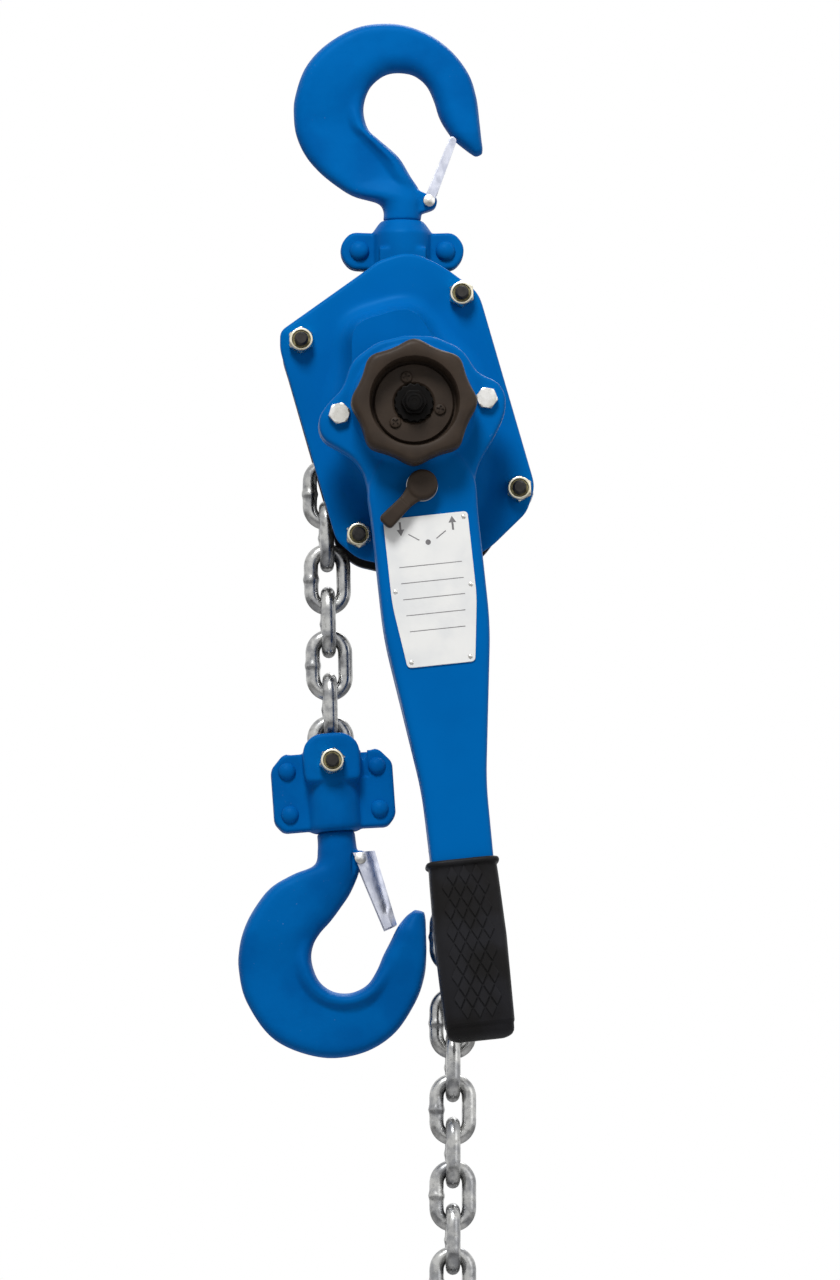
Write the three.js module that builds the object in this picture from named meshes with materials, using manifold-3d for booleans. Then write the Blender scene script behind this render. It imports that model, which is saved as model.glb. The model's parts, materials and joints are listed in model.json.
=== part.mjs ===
// Lever chain hoist (come along winch), 1.5 t class: an assembly of separate parts.
// Millimetres, +Z up. The hand wheel side is the front (-Y); the chain runs in the plane y = 0.
// Origin: the saddle of the top hook, from which the hoist hangs.
import * as THREE from "three";
import { mergeVertices } from "three/addons/utils/BufferGeometryUtils.js";
import Module from "manifold-3d";

const wasm = await Module();
wasm.setup();
const { Manifold, Mesh } = wasm;

// ---------------------------------------------------------------- driving dimensions
const GAP = 0.3; // between neighbours that touch or run on each other
const HUB_X = 3.8; // drive axis beside the load line of the top hook
const HUB_Z = -195.5; // drive axis below the saddle
const TURN = { body: 16.4, lever: 6.2, block: 4, run: 1.2 }; // degrees, anticlockwise seen from the front
const CHAIN = { wire: 8, pitch: 24, inner: 10, sides: 6, bends: [-90, -60, 0, 60, 90], fewer: [-90, -30, 30, 90] };
const WRAP = { pockets: 6, start: 186, chords: 8 }; // chain over the load sheave
const RUN = { loadLinks: 8, slackLinks: 20, bite: 0.15, fewerBite: 0.5 }; // bite joins the links of one node
const PLATE = { inner: 17.5, thick: 4 };
const COVER = { thick: 2.5, front: -43, back: 47, wall: 2.5 };
const STAY = { x: 46.5, top: 57.5, low: -56, r: 4, shoulder: 6, waist: 3.2, waistHalf: 6 };
const NUT = { r: 7.5, thick: 8, hex: 5.2 };
const TOP_PIN = { z: 75, r: 5 }; // above the drive axis
const YOKE = { z: -99.5, half: 16.6, lobe: 6, barrel: 17, head: 14, headLow: -7.5, headTop: 4.5 };
const SHANK = { r: 8.8, headR: 13.7 };
const SHEAVE = { rim: 47, half: 16.9, groove: 31.3, grooveHalf: 4.7, floor: 40.4, pocket: 20.8 };
const JOURNAL = { r: 15.5, seat: 13 };
const SHAFT = { r: 8.7, front: 7, thread: 5, tail: 4.5 };
const FIRST = { module: 2.25, pinion: 8, large: 24, y: [33.2, 39.2] }; // gear stage at the drive shaft
const SECOND = { module: 2, small: 12, load: 24, y: [23.2, 31] }; // gear stage at the load sheave
const BRAKE = { r: 24.5, sleeve: 13, ratchet: 30, root: 25.5, teeth: 12, pawlZ: 46.5 };
const LEVER = { split: -61, face: -71.3, rear: -51, front: -78, back: -45, drum: 34, bolt: 41, tail: -339 };
const SELECTOR = { z: -45, r: 8.5, arm: 30.5, shaft: 4, horn: 22, turn: -50 };
const WHEEL = { r: 33.2, lobe: 2.1, lobes: 8, front: -98, back: -80, cup: 25.5, floor: -86 };
const GRIP = { half: 21, top: -257.5, low: -353, front: -76, back: -46, pocket: 17.6 };

const plateOuter = PLATE.inner + PLATE.thick;
const linkMid = CHAIN.pitch / 2;
const vertexR = linkMid / Math.sin(Math.PI / (2 * WRAP.pockets));

// ---------------------------------------------------------------- solid helpers
const deg = THREE.MathUtils.degToRad;
const polar = (r, angle) => [r * Math.cos(deg(angle)), r * Math.sin(deg(angle))];

/** A closed solid from closed geometry, whichever way its faces point. */
function solid(geometry) {
  const bare = geometry.clone();
  for (const name of Object.keys(bare.attributes)) if (name !== "position") bare.deleteAttribute(name);
  const merged = mergeVertices(bare, 1e-3);
  const at = merged.attributes.position.array;
  const index = merged.index.array;
  const triangles = [];
  let volume = 0;
  for (let i = 0; i < index.length; i += 3) {
    const [a, b, c] = index.slice(i, i + 3);
    if (a === b || b === c || a === c) continue;
    triangles.push(a, b, c);
    const [p, q, s] = [a, b, c].map((k) => new THREE.Vector3(...at.slice(3 * k, 3 * k + 3)));
    volume += p.dot(q.cross(s));
  }
  if (volume < 0) triangles.reverse();
  return new Manifold(
    new Mesh({ numProp: 3, vertProperties: new Float32Array(at), triVerts: new Uint32Array(triangles) }),
  );
}

/** A flat piece with the outline [[x, z], ...], from y = front to y = back. */
function plate(outline, front, back, bevel = 0, segments = 2) {
  const shape = new THREE.Shape(outline.map(([x, z]) => new THREE.Vector2(x, z)));
  const geometry = new THREE.ExtrudeGeometry(shape, {
    depth: back - front - 2 * bevel,
    steps: 1,
    bevelEnabled: bevel > 0,
    bevelSize: bevel,
    bevelThickness: bevel,
    bevelOffset: -bevel,
    bevelSegments: segments,
  });
  return solid(geometry.rotateX(Math.PI / 2).translate(0, back - bevel, 0));
}

/** A round bar along Y. */
const rod = (r, front, back, x = 0, z = 0, sides = 14) =>
  solid(new THREE.CylinderGeometry(r, r, back - front, sides)).translate([x, (front + back) / 2, z]);

/** A round bar along Z. */
const post = (r, low, high, x = 0, sides = 16) =>
  solid(new THREE.CylinderGeometry(r, r, high - low, sides).rotateX(Math.PI / 2))
    .translate([x, 0, (low + high) / 2]);

/** A turned piece about Y from its closed section [[radius, y], ...]. */
const turned = (section, sides = 20) =>
  solid(new THREE.LatheGeometry([...section, section[0]].map(([r, y]) => new THREE.Vector2(r, y)), sides));

/** A turned piece about Z. */
const turnedZ = (section, sides = 16) => turned(section, sides).rotate([90, 0, 0]);

const block = (x0, x1, y0, y1, z0, z1) =>
  solid(new THREE.BoxGeometry(x1 - x0, y1 - y0, z1 - z0).translate((x0 + x1) / 2, (y0 + y1) / 2, (z0 + z1) / 2));

const join = (...pieces) => pieces.reduce((a, b) => a.add(b));
const cut = (piece, ...tools) => tools.reduce((a, b) => a.subtract(b), piece);

/** Turns a solid about Y, anticlockwise seen from the front. */
const spin = (piece, angle) => piece.rotate([0, -angle, 0]);

/** Points of an arc seen from the front. */
const arc = (cx, cz, r, from, to, steps = 8) =>
  Array.from({ length: steps + 1 }, (_, i) => {
    const [x, z] = polar(r, from + ((to - from) * i) / steps);
    return [cx + x, cz + z];
  });

/** An outline with each corner [x, z, cut length] rounded. */
function rounded(corners, steps = 2) {
  const toward = ([x, z, r], [u, v]) => {
    const share = Math.min(r / Math.hypot(u - x, v - z), 0.45);
    return [x + (u - x) * share, z + (v - z) * share];
  };
  return corners.flatMap((corner, i) => {
    if (!corner[2]) return [[corner[0], corner[1]]];
    const from = toward(corner, corners[(i + corners.length - 1) % corners.length]);
    const to = toward(corner, corners[(i + 1) % corners.length]);
    return Array.from({ length: steps + 1 }, (_, k) => {
      const t = k / steps;
      return [0, 1].map((j) => (1 - t) ** 2 * from[j] + 2 * t * (1 - t) * corner[j] + t * t * to[j]);
    });
  });
}

const mirrored = (half) => [...half, ...half.map(([x, z, r]) => [-x, z, r]).reverse()];
const shrunk = (outline, by) =>
  outline.map(([x, z]) => {
    const share = 1 - by / Math.hypot(x, z);
    return [x * share, z * share];
  });
const hexagon = (r, x = 0, z = 0, turn = 0) => arc(x, z, r, turn, turn + 300, 5);

/** A skin over closed rings of equal point count; closed joins the last ring to the first. */
function skin(rings, closed = false) {
  const n = rings[0].length;
  const at = rings.flat(2);
  const index = [];
  const spans = closed ? rings.length : rings.length - 1;
  for (let i = 0; i < spans; i++)
    for (let k = 0; k < n; k++) {
      const [a, b] = [i * n + k, i * n + ((k + 1) % n)];
      const [c, d] = [a, b].map((v) => (v + n) % (rings.length * n));
      index.push(a, b, d, a, d, c);
    }
  if (!closed)
    for (let k = 1; k < n - 1; k++) {
      const last = (rings.length - 1) * n;
      index.push(0, k + 1, k, last, last + k, last + k + 1);
    }
  const geometry = new THREE.BufferGeometry();
  geometry.setAttribute("position", new THREE.Float32BufferAttribute(at, 3));
  geometry.setIndex(index);
  return solid(geometry);
}

/** A raised form about Y: the outline at y = back, rounded over by inset and rise into a flat face. */
function dome(outline, face, back, inset, rise, steps = 3) {
  const ring = (by, y) => shrunk(outline, by).map(([x, z]) => [x, y, z]);
  const middle = (y) => outline.map(() => [0, y, 0]);
  const round = Array.from({ length: steps + 1 }, (_, i) => {
    const turn = (Math.PI * i) / (2 * steps);
    return ring(inset * (1 - Math.cos(turn)), face + rise * (1 - Math.sin(turn)));
  });
  return skin([middle(back), ring(0, back), ...round, middle(face)]);
}

/** A spur gear about Y with flat-sided teeth; phase is the angle of one tooth. */
function gear(module, teeth, [front, back], phase) {
  const pitchR = (module * teeth) / 2;
  const step = 360 / teeth;
  const radii = [pitchR - 1.25 * module, pitchR + 0.9 * module];
  const halves = [0.29, 0.1].map((share) => share * step);
  const outline = Array.from({ length: teeth }, (_, i) => {
    const at = phase + i * step;
    const rise = radii.map((r, k) => polar(r, at - halves[k]));
    const fall = radii.map((r, k) => polar(r, at + halves[k])).reverse();
    return [...rise, ...fall];
  }).flat();
  return plate(outline, front, back);
}

// ---------------------------------------------------------------- placing
const root = new THREE.Group();
function frameAt(x, z, turn, parent = root) {
  const group = new THREE.Group();
  group.position.set(x, 0, z);
  group.rotation.y = -deg(turn);
  parent.add(group);
  return group;
}
const hub = frameAt(HUB_X, HUB_Z, 0);
const body = frameAt(HUB_X, HUB_Z, TURN.body);
const lever = frameAt(HUB_X, HUB_Z, TURN.lever);
const top = frameAt(0, YOKE.z, 0);

const PAINT = { blue: 0x005caa, black: 0x1c1a19, steel: 0xb9bbbd, zinc: 0xc8c6b4, dark: 0x3d3330, plate: 0xe8e8e6 };
function add(group, name, piece, paint) {
  const made = piece.getMesh();
  const at = new Float32Array(made.numVert * 3);
  for (let i = 0; i < made.numVert; i++)
    at.set(made.vertProperties.subarray(i * made.numProp, i * made.numProp + 3), 3 * i);
  const geometry = new THREE.BufferGeometry();
  geometry.setAttribute("position", new THREE.BufferAttribute(at, 3));
  geometry.setIndex(new THREE.BufferAttribute(made.triVerts, 1));
  geometry.computeVertexNormals();
  const mesh = new THREE.Mesh(geometry, new THREE.MeshStandardMaterial({ color: PAINT[paint] }));
  mesh.name = name;
  group.add(mesh);
}

// ---------------------------------------------------------------- hooks
// Stations from the neck to the point: [inner x, inner z, outer x, outer z].
const TOP_HOOK = [
  [10.5, 16.4, -10.5, 16.4], [11, 22, -10.5, 22], [11, 29, -14, 26.5], [9, 35, -27, 30.2],
  [5, 41, -36, 35.5], [-1, 51, -46, 43.5], [-7, 57, -54, 53], [-13, 62, -59, 64], [-19, 68, -60.5, 75],
  [-21.5, 79, -59.8, 86], [-18.5, 90, -54, 102.5], [-12, 96.8, -42, 115.8], [-5, 99.5, -24, 125.5],
  [4, 99, -4, 128], [10, 96, 13, 122.5], [14.5, 91, 27, 112.5], [18, 83, 37, 99.5], [20.5, 75, 41.5, 86],
  [24, 68.5, 43.3, 72], [29, 62, 44.4, 62], [35.5, 56.5, 45, 57.5], [41, 52.6, 44.8, 54.2],
];
const LOW_HOOK = [
  [10.5, -38.6, -10.5, -38.6], [11, -47, -10.8, -47], [12, -58, -13.5, -55.5], [6, -71, -26, -60],
  [-1, -80, -39, -66.5], [-7.5, -87.5, -49, -77], [-13.8, -93.4, -55.5, -87.4], [-18.3, -100, -59.3, -98.2],
  [-19.9, -109, -60.6, -111], [-17.2, -120.5, -57.2, -130], [-11.2, -127.6, -43, -152],
  [-3.4, -130.2, -18, -163.5], [4.5, -129.5, 5.4, -162.9], [12, -125.2, 24.1, -153.1],
  [17.5, -116.5, 37.3, -136], [21.2, -108.8, 43.4, -122], [25.7, -101.1, 45.3, -109.5],
  [30.3, -93.4, 46, -98.5], [35.7, -88, 46.3, -90.8], [41.4, -85, 45.6, -86.3],
];
const BEAD = { across: [0, 0.04, 0.13, 0.26, 0.34, 0.62, 0.9, 1], half: [0.35, 0.8, 1, 0.93, 0.76, 0.72, 0.64, 0.35] };

/** A hook: round at the neck, then a raised bead along its inner edge, tapering to the point. */
function hookBar(stations, rings = 23) {
  const line = (k) => new THREE.SplineCurve(stations.map((s) => new THREE.Vector2(s[k], s[k + 1])));
  const [inner, outer] = [line(0), line(2)];
  const count = BEAD.across.length;
  return skin(
    Array.from({ length: rings }, (_, i) => {
      const t = i / (rings - 1);
      const [p, q] = [inner.getPoint(t), outer.getPoint(t)];
      const bead = THREE.MathUtils.smoothstep(t, 0.05, 0.28) - 0.8 * THREE.MathUtils.smoothstep(t, 0.72, 0.98);
      const half = Math.min(10.5, 3.2 + 0.42 * p.distanceTo(q));
      const side = BEAD.across.map((u, k) => {
        const angle = deg((180 * (k + 0.5)) / count);
        const share = THREE.MathUtils.lerp((1 - Math.cos(angle)) / 2, u, bead);
        const y = half * THREE.MathUtils.lerp(Math.sin(angle), BEAD.half[k], bead);
        const at = p.clone().lerp(q, share);
        return [at.x, y, at.y];
      });
      return [...side, ...side.map(([x, y, z]) => [x, -y, z]).reverse()];
    }),
  );
}

/** A sprung safety latch: a channel over the lug on the hook, from its pin to its tip. */
const LATCH = { half: 4, inside: 6.3, sheet: 1.5, pin: 2.2, lug: 6, lugR: 5.5 };
function latch(pivot, tip, flip) {
  const length = Math.hypot(tip[0] - pivot[0], tip[1] - pivot[1]);
  const outside = LATCH.inside + LATCH.sheet;
  const cheek = [...arc(0, 0, LATCH.half + 0.6, 90, 270, 4), [length * 0.75, -LATCH.half], [length, -1.5], [length, 2.4]];
  const made = cut(
    join(
      plate(cheek, -outside, -LATCH.inside),
      plate(cheek, LATCH.inside, outside),
      block(LATCH.lugR + 1.6, length, -outside, outside, -LATCH.half, -LATCH.half + LATCH.sheet)
        .intersect(plate(cheek, -outside, outside)),
      block(length * 0.6, length, -outside, outside, -3.4, -1.2).intersect(plate(cheek, -outside, outside)),
    ),
    rod(LATCH.pin + GAP, -outside - 1, outside + 1, 0, 0, 10),
  );
  const angle = THREE.MathUtils.radToDeg(Math.atan2(tip[1] - pivot[1], tip[0] - pivot[0]));
  return spin(flip ? made.scale([1, 1, -1]) : made, angle).translate([pivot[0], 0, pivot[1]]);
}
const latchPin = ([x, z]) =>
  join(
    rod(LATCH.pin, -8.6, 8.6, x, z, 10),
    rod(LATCH.pin + 1.2, -9.8, -8.2, x, z, 10),
    rod(LATCH.pin + 1.2, 8.2, 9.8, x, z, 10),
  );
const lug = ([x, z], footX, footZ) =>
  cut(
    plate([...arc(x, z, LATCH.lugR, -70, 110, 4), [footX, footZ + 8], [footX, footZ - 8]], -LATCH.lug, LATCH.lug),
    rod(LATCH.pin + GAP, -9, 9, x, z, 12),
  );

/** Room beside the lug for the cheeks of the latch, closed and swung in by open degrees. */
const relief = (pivot, tip, open) => {
  const angle = THREE.MathUtils.radToDeg(Math.atan2(tip[1] - pivot[1], tip[0] - pivot[0])) + open;
  const swept = [...arc(0, 0, LATCH.half + 1.4, 90, 270, 6), [22, -4.2], [22, 4.2]];
  return [-1, 1].map((s) => spin(plate(swept, s > 0 ? LATCH.lug : -14, s > 0 ? 14 : -LATCH.lug), angle)
    .translate([pivot[0], 0, pivot[1]]));
};
function hook(group, prefix, stations, pivot, tip, head, open) {
  const bar = cut(hookBar(stations), rod(LATCH.pin + GAP, -12, 12, pivot[0], pivot[1], 12), ...relief(pivot, tip, open));
  add(group, `${prefix}_hook`, join(bar, head, lug(pivot, pivot[0] - 9, pivot[1])), "blue");
  add(group, `${prefix}_latch`, latch(pivot, tip, open < 0), "steel");
  add(group, `${prefix}_latch_pin`, latchPin(pivot), "steel");
}

// ---------------------------------------------------------------- top yoke and hook
hook(top, "top", TOP_HOOK, [14.8, 27], [27.4, 60.5],
  join(post(SHANK.r, 0, 18), post(SHANK.headR, YOKE.headLow + 0.6, YOKE.headTop - 0.6)), 26);

const PIN_DROP = HUB_Z + TOP_PIN.z - YOKE.z;
const RIVET = { x: 24, z: -1, r: 3, dome: 5.5 };
const yokeLobes = rounded(mirrored([
  [15, 9, 3], [30, 9, 4], [34.5, 2, 4], [34, -5, 4], [29, -11, 3], [14, -12, 3], [13, PIN_DROP, 0],
  ...arc(0, PIN_DROP, 13, -15, -75, 3).map((p) => [...p, 0]),
]), 1);
function halfOf(whole, front) {
  return whole.intersect(front ? block(-99, 99, -99, -GAP / 2, -99, 99) : block(-99, 99, GAP / 2, 99, -99, 99));
}
const topYoke = cut(
  join(
    plate(yokeLobes, -YOKE.lobe, YOKE.lobe, 1.2, 1),
    turnedZ([[0, -11], [YOKE.barrel, -11], [YOKE.barrel, 9], [13.5, 14.5], [11.3, 16], [0, 16]]),
    plate([[13, PIN_DROP], [13, 0], [-13, 0], [-13, PIN_DROP], ...arc(0, PIN_DROP, 13, 180, 360, 6).slice(1, -1)],
      -YOKE.half + 1, YOKE.half - 1),
  ),
  post(SHANK.r + GAP, 0, 20),
  post(YOKE.head, YOKE.headLow, YOKE.headTop),
  rod(TOP_PIN.r + GAP, -20, 20, 0, PIN_DROP),
  ...[-1, 1].map((s) => rod(RIVET.r + GAP, -9, 9, s * RIVET.x, RIVET.z, 12)),
);
add(top, "top_yoke_front", halfOf(topYoke, true), "blue");
add(top, "top_yoke_rear", halfOf(topYoke, false), "blue");

/** A round-headed rivet along Y with a dome at both ends. */
function rivet(x, z, grip, r = RIVET.r, dome = RIVET.dome) {
  const end = grip + GAP;
  const half = [[dome, end], [dome * 0.75, end + 2.6], [0, end + 3.8]];
  const section = [[0, -end - 3.8], ...half.slice(0, 2).map(([u, v]) => [u, -v]).reverse(), [r, -end], [r, end], ...half];
  return turned(section, 12).translate([x, 0, z]);
}
[["left", -1], ["right", 1]].forEach(([side, s]) =>
  add(top, `top_rivet_${side}`, rivet(s * RIVET.x, RIVET.z, YOKE.lobe), "blue"));
add(top, "top_pin", rod(TOP_PIN.r, -plateOuter + 0.1, plateOuter - 0.1, 0, PIN_DROP), "steel");

// ---------------------------------------------------------------- frame: plates, covers, stays
const plateOutline = rounded([
  [-59, -55, 5], [-50.5, -68, 6], [-21, -84.5, 10], [19, -84.5, 10], [47, -69.5, 5], [56.3, -57, 5],
  [56.3, 52.5, 5], [54.5, 58.5, 3], [40.5, 77, 8], [26, 89, 12], [8, 89, 8], [1, 86, 6], [-56, 66, 4],
  [-59, 56, 5],
], 1);
const stays = [[-STAY.x, STAY.top], [STAY.x, STAY.top], [-STAY.x, STAY.low], [STAY.x, STAY.low]];
const stayNames = ["top_left", "top_right", "low_left", "low_right"];
const [pinX, pinZ] = polar(Math.hypot(HUB_X, TOP_PIN.z),
  90 - TURN.body + THREE.MathUtils.radToDeg(Math.atan2(HUB_X, TOP_PIN.z)));
const centre = (FIRST.module * (FIRST.pinion + FIRST.large)) / 2;
const pawlSides = [1, -1];

const REAR_INSET = 2; // the side plates and the gear cover stand back from the edge of the brake cover
function framePlate(front, holes) {
  const back = front + PLATE.thick;
  return cut(
    plate(shrunk(plateOutline, REAR_INSET), front, back),
    rod(JOURNAL.r + GAP + 0.1, front - 1, back + 1, 0, 0, 20),
    rod(TOP_PIN.r + GAP, front - 1, back + 1, pinX, pinZ),
    ...stays.map(([x, z]) => rod(STAY.r + GAP, front - 1, back + 1, x, z, 12)),
    ...holes.map(([r, z]) => rod(r + GAP, front - 1, back + 1, 0, z, 16)),
  );
}
const PAWL_PIN = 3;
add(body, "side_plate_front", framePlate(-plateOuter, pawlSides.map((s) => [PAWL_PIN, s * BRAKE.pawlZ])), "black");
add(body, "side_plate_rear", framePlate(PLATE.inner, [1, -1].map((s) => [SHAFT.tail, s * centre])), "black");

const bulge = rounded(mirrored([
  [14, 61, 6], [25, 55, 6], [32, 36, 9], [46, 17, 9], [48, -12, 9], [35, -36, 9], [26, -55, 6], [14, -61, 6],
]));
const coverFront = -plateOuter - GAP - COVER.thick;
function cover(raised, hollow, flangeAt, inset = 0) {
  const flange = plate(shrunk(plateOutline, inset), flangeAt, flangeAt + COVER.thick);
  return cut(
    join(flange, raised),
    hollow,
    ...stays.map(([x, z]) => rod(STAY.r + GAP, flangeAt - 1, flangeAt + COVER.thick + 1, x, z, 12)),
  );
}
const coverBack = coverFront + COVER.thick;
add(body, "brake_cover", cut(
  cover(
    dome(bulge, COVER.front, coverBack, 9, 9, 2),
    dome(shrunk(bulge, COVER.wall), COVER.front + COVER.wall, 0, 6, 6, 1),
    coverFront,
  ),
  rod(BRAKE.r + 1.2, COVER.front - 1, 0, 0, 0, 20),
), "blue");

const gearCase = rounded(mirrored([[16, 68.5, 16], [33.5, 56, 16], [33.5, -56, 16], [16, -68.5, 16]]), 3);
const gearSide = plateOuter + GAP;
add(body, "gear_cover", cut(
  cover(
    dome(gearCase, COVER.back, gearSide, 4, -4, 1),
    dome(shrunk(gearCase, 3), COVER.back - 4, 0, 2, -2, 1),
    gearSide,
    REAR_INSET,
  ),
  ...[0, centre, -centre].map((z) => rod(SHAFT.tail + GAP, 30, COVER.back - 2, 0, z, 10)),
), "blue");

const nutFront = coverFront - GAP - NUT.thick;
const headBack = plateOuter + GAP + COVER.thick + GAP;
stays.forEach(([x, z], i) => {
  const low = stayNames[i] === "low_left";
  const shoulders = low
    ? [[-PLATE.inner + GAP, -STAY.waistHalf], [STAY.waistHalf, PLATE.inner - GAP]]
    : [[-PLATE.inner + GAP, PLATE.inner - GAP]];
  add(body, `stay_bolt_${stayNames[i]}`, join(
    rod(STAY.r, nutFront - 4.5, -STAY.waistHalf, x, z, 12),
    rod(low ? STAY.waist : STAY.r, -STAY.waistHalf - 1, STAY.waistHalf + 1, x, z, 12),
    rod(STAY.r, STAY.waistHalf, headBack + 1, x, z, 12),
    ...shoulders.map(([a, b]) => rod(STAY.shoulder, a, b, x, z, 12)),
    plate(hexagon(NUT.r, x, z, 15), headBack, headBack + NUT.hex),
  ), "black");
  add(body, `stay_nut_${stayNames[i]}`, cut(
    join(
      plate(hexagon(NUT.r, x, z, 15), coverFront - GAP - NUT.hex, coverFront - GAP),
      rod(6.2, nutFront, coverFront - GAP - 1, x, z, 12),
    ),
    rod(STAY.r + GAP, nutFront - 1, 0, x, z, 12),
  ), "zinc");
});

// The guide keeps the chain in its pockets where it leaves; the stripper lifts it out below.
const GUIDE = { low: 60, high: 63.4, from: -57, to: -29, ear: 8.6 };
const [guideX, guideZ] = stays[3];
const guideTurn = THREE.MathUtils.radToDeg(Math.atan2(guideZ, guideX));
add(body, "chain_guide", cut(
  join(
    plate([...arc(0, 0, GUIDE.high, GUIDE.from, GUIDE.to, 5), ...arc(0, 0, GUIDE.low, GUIDE.to, GUIDE.from, 5)],
      -SHEAVE.half, SHEAVE.half),
    plate([...arc(guideX, guideZ, GUIDE.ear, guideTurn - 100, guideTurn + 100, 5), polar(61.5, guideTurn + 9),
      polar(61.5, guideTurn - 6)], -SHEAVE.half, SHEAVE.half),
  ),
  rod(STAY.shoulder + GAP, -18, 18, guideX, guideZ, 12),
), "steel");
const STRIP = { angle: -88 - TURN.body, r: 82, boss: 5.5 };
const [stripX, stripZ] = polar(STRIP.r, STRIP.angle);
add(body, "chain_stripper", join(
  plate([polar(31.9, STRIP.angle - 9), polar(31.9, STRIP.angle), polar(31.9, STRIP.angle + 9),
    ...arc(stripX, stripZ, STRIP.boss, STRIP.angle + 90, STRIP.angle - 90, 6).slice(0, 7)], -3.6, 3.6),
  rod(STRIP.boss, -16.9, 16.9, stripX, stripZ, 16),
), "steel");

// ---------------------------------------------------------------- load sheave, chain
const startAt = polar(vertexR, WRAP.start);
const chordStep = 360 / (2 * WRAP.pockets);
const pocketAngles = Array.from({ length: WRAP.pockets }, (_, k) => WRAP.start - chordStep * (1.5 + 2 * k));
const sheaveSection = [
  [SHAFT.r + 0.4, -22.2], [JOURNAL.r, -22.2], [JOURNAL.r, -SHEAVE.half], [SHEAVE.rim, -SHEAVE.half],
  [SHEAVE.rim, -SHEAVE.grooveHalf], [SHEAVE.groove, -SHEAVE.grooveHalf + 0.6], [SHEAVE.groove, SHEAVE.grooveHalf - 0.6],
  [SHEAVE.rim, SHEAVE.grooveHalf], [SHEAVE.rim, SHEAVE.half], [JOURNAL.r, SHEAVE.half], [JOURNAL.r, 22.4],
  [JOURNAL.seat, 22.4], [JOURNAL.seat, 31.4], [SHAFT.r + 0.4, 31.4],
];
add(hub, "load_sheave", cut(
  turned(sheaveSection, 24),
  ...pocketAngles.map((a) => spin(block(SHEAVE.floor, 70, -13.6, 13.6, -SHEAVE.pocket, SHEAVE.pocket), a)),
), "steel");

/** One chain link in the XZ plane, long axis along X; slack lengthens (+) or shortens (-) it. */
function link(slack, bends = CHAIN.bends) {
  const r = CHAIN.wire / 2;
  const bend = CHAIN.inner / 2 + r;
  const offset = linkMid + r + slack - bend;
  const path = [1, -1].flatMap((s) => bends.map((a) => {
    const turn = deg(s > 0 ? a : a + 180);
    return { x: s * offset + bend * Math.cos(turn), z: bend * Math.sin(turn), nx: Math.cos(turn), nz: Math.sin(turn) };
  }));
  return skin(path.map((p) => Array.from({ length: CHAIN.sides }, (_, k) => {
    const turn = (2 * Math.PI * k) / CHAIN.sides;
    const out = r * Math.cos(turn);
    return [p.x + p.nx * out, r * Math.sin(turn), p.z + p.nz * out];
  })), true);
}
/** A link between two points of the chain line, flat or upright. */
function linkBetween([x0, z0], [x1, z1], edgeOn, slack, bends = CHAIN.bends) {
  const laid = link(slack, bends).rotate([edgeOn ? 90 : 0, 0, 0]);
  return spin(laid, THREE.MathUtils.radToDeg(Math.atan2(z1 - z0, x1 - x0)))
    .translate([(x0 + x1) / 2, 0, (z0 + z1) / 2]);
}
const wrapPoints = Array.from({ length: WRAP.chords + 1 }, (_, j) => polar(vertexR, WRAP.start - j * chordStep));
const down = ([x, z], n, shift = 0) => [x, z - n * CHAIN.pitch + shift];
/** A point of the load run, n links below its start; from the second link on the run leans. */
const along = (n) => {
  const [x, z] = down(startAt, Math.min(n, 2));
  const [dx, dz] = polar(Math.max(n - 2, 0) * CHAIN.pitch, TURN.run - 90);
  return [x + dx, z + dz];
};
const loadLink = (m, slack, shift = 0) =>
  linkBetween(down(along(m + 1), 0, shift), down(along(m), 0, shift), m % 2 === 0, slack);
add(hub, "chain_over_sheave", join(
  ...wrapPoints.slice(1).map((p, j) => linkBetween(wrapPoints[j], p, j % 2 === 1, RUN.fewerBite, CHAIN.fewer)),
  loadLink(0, -RUN.bite),
  loadLink(1, -RUN.bite, -GAP),
), "steel");
for (let m = 2; m < RUN.loadLinks; m++) add(hub, `load_link_${m - 1}`, loadLink(m, RUN.bite), "steel");
// The slack run hangs from the end wire of the last wrapped link.
const lastChord = WRAP.start - (WRAP.chords - 0.5) * chordStep - 90;
const endWire = polar(CHAIN.wire / 2 + RUN.fewerBite, lastChord).map((d, k) => wrapPoints[WRAP.chords][k] + d);
const slackTop = [endWire[0], endWire[1] + CHAIN.wire / 2];
const ring = { r: 15, wire: 2.5 };
const slackEnd = down(slackTop, RUN.slackLinks, 2 * GAP);
add(hub, "slack_chain", join(
  ...Array.from({ length: RUN.slackLinks }, (_, m) =>
    linkBetween(down(slackTop, m + 1, 2 * GAP), down(slackTop, m, 2 * GAP), m % 2 === 1, RUN.fewerBite, CHAIN.fewer)),
  solid(new THREE.TorusGeometry(ring.r, ring.wire, 6, 16).rotateY(Math.PI / 2))
    .translate([slackEnd[0], 0, slackEnd[1] + RUN.bite - GAP + ring.wire - ring.r]),
), "steel");

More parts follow.
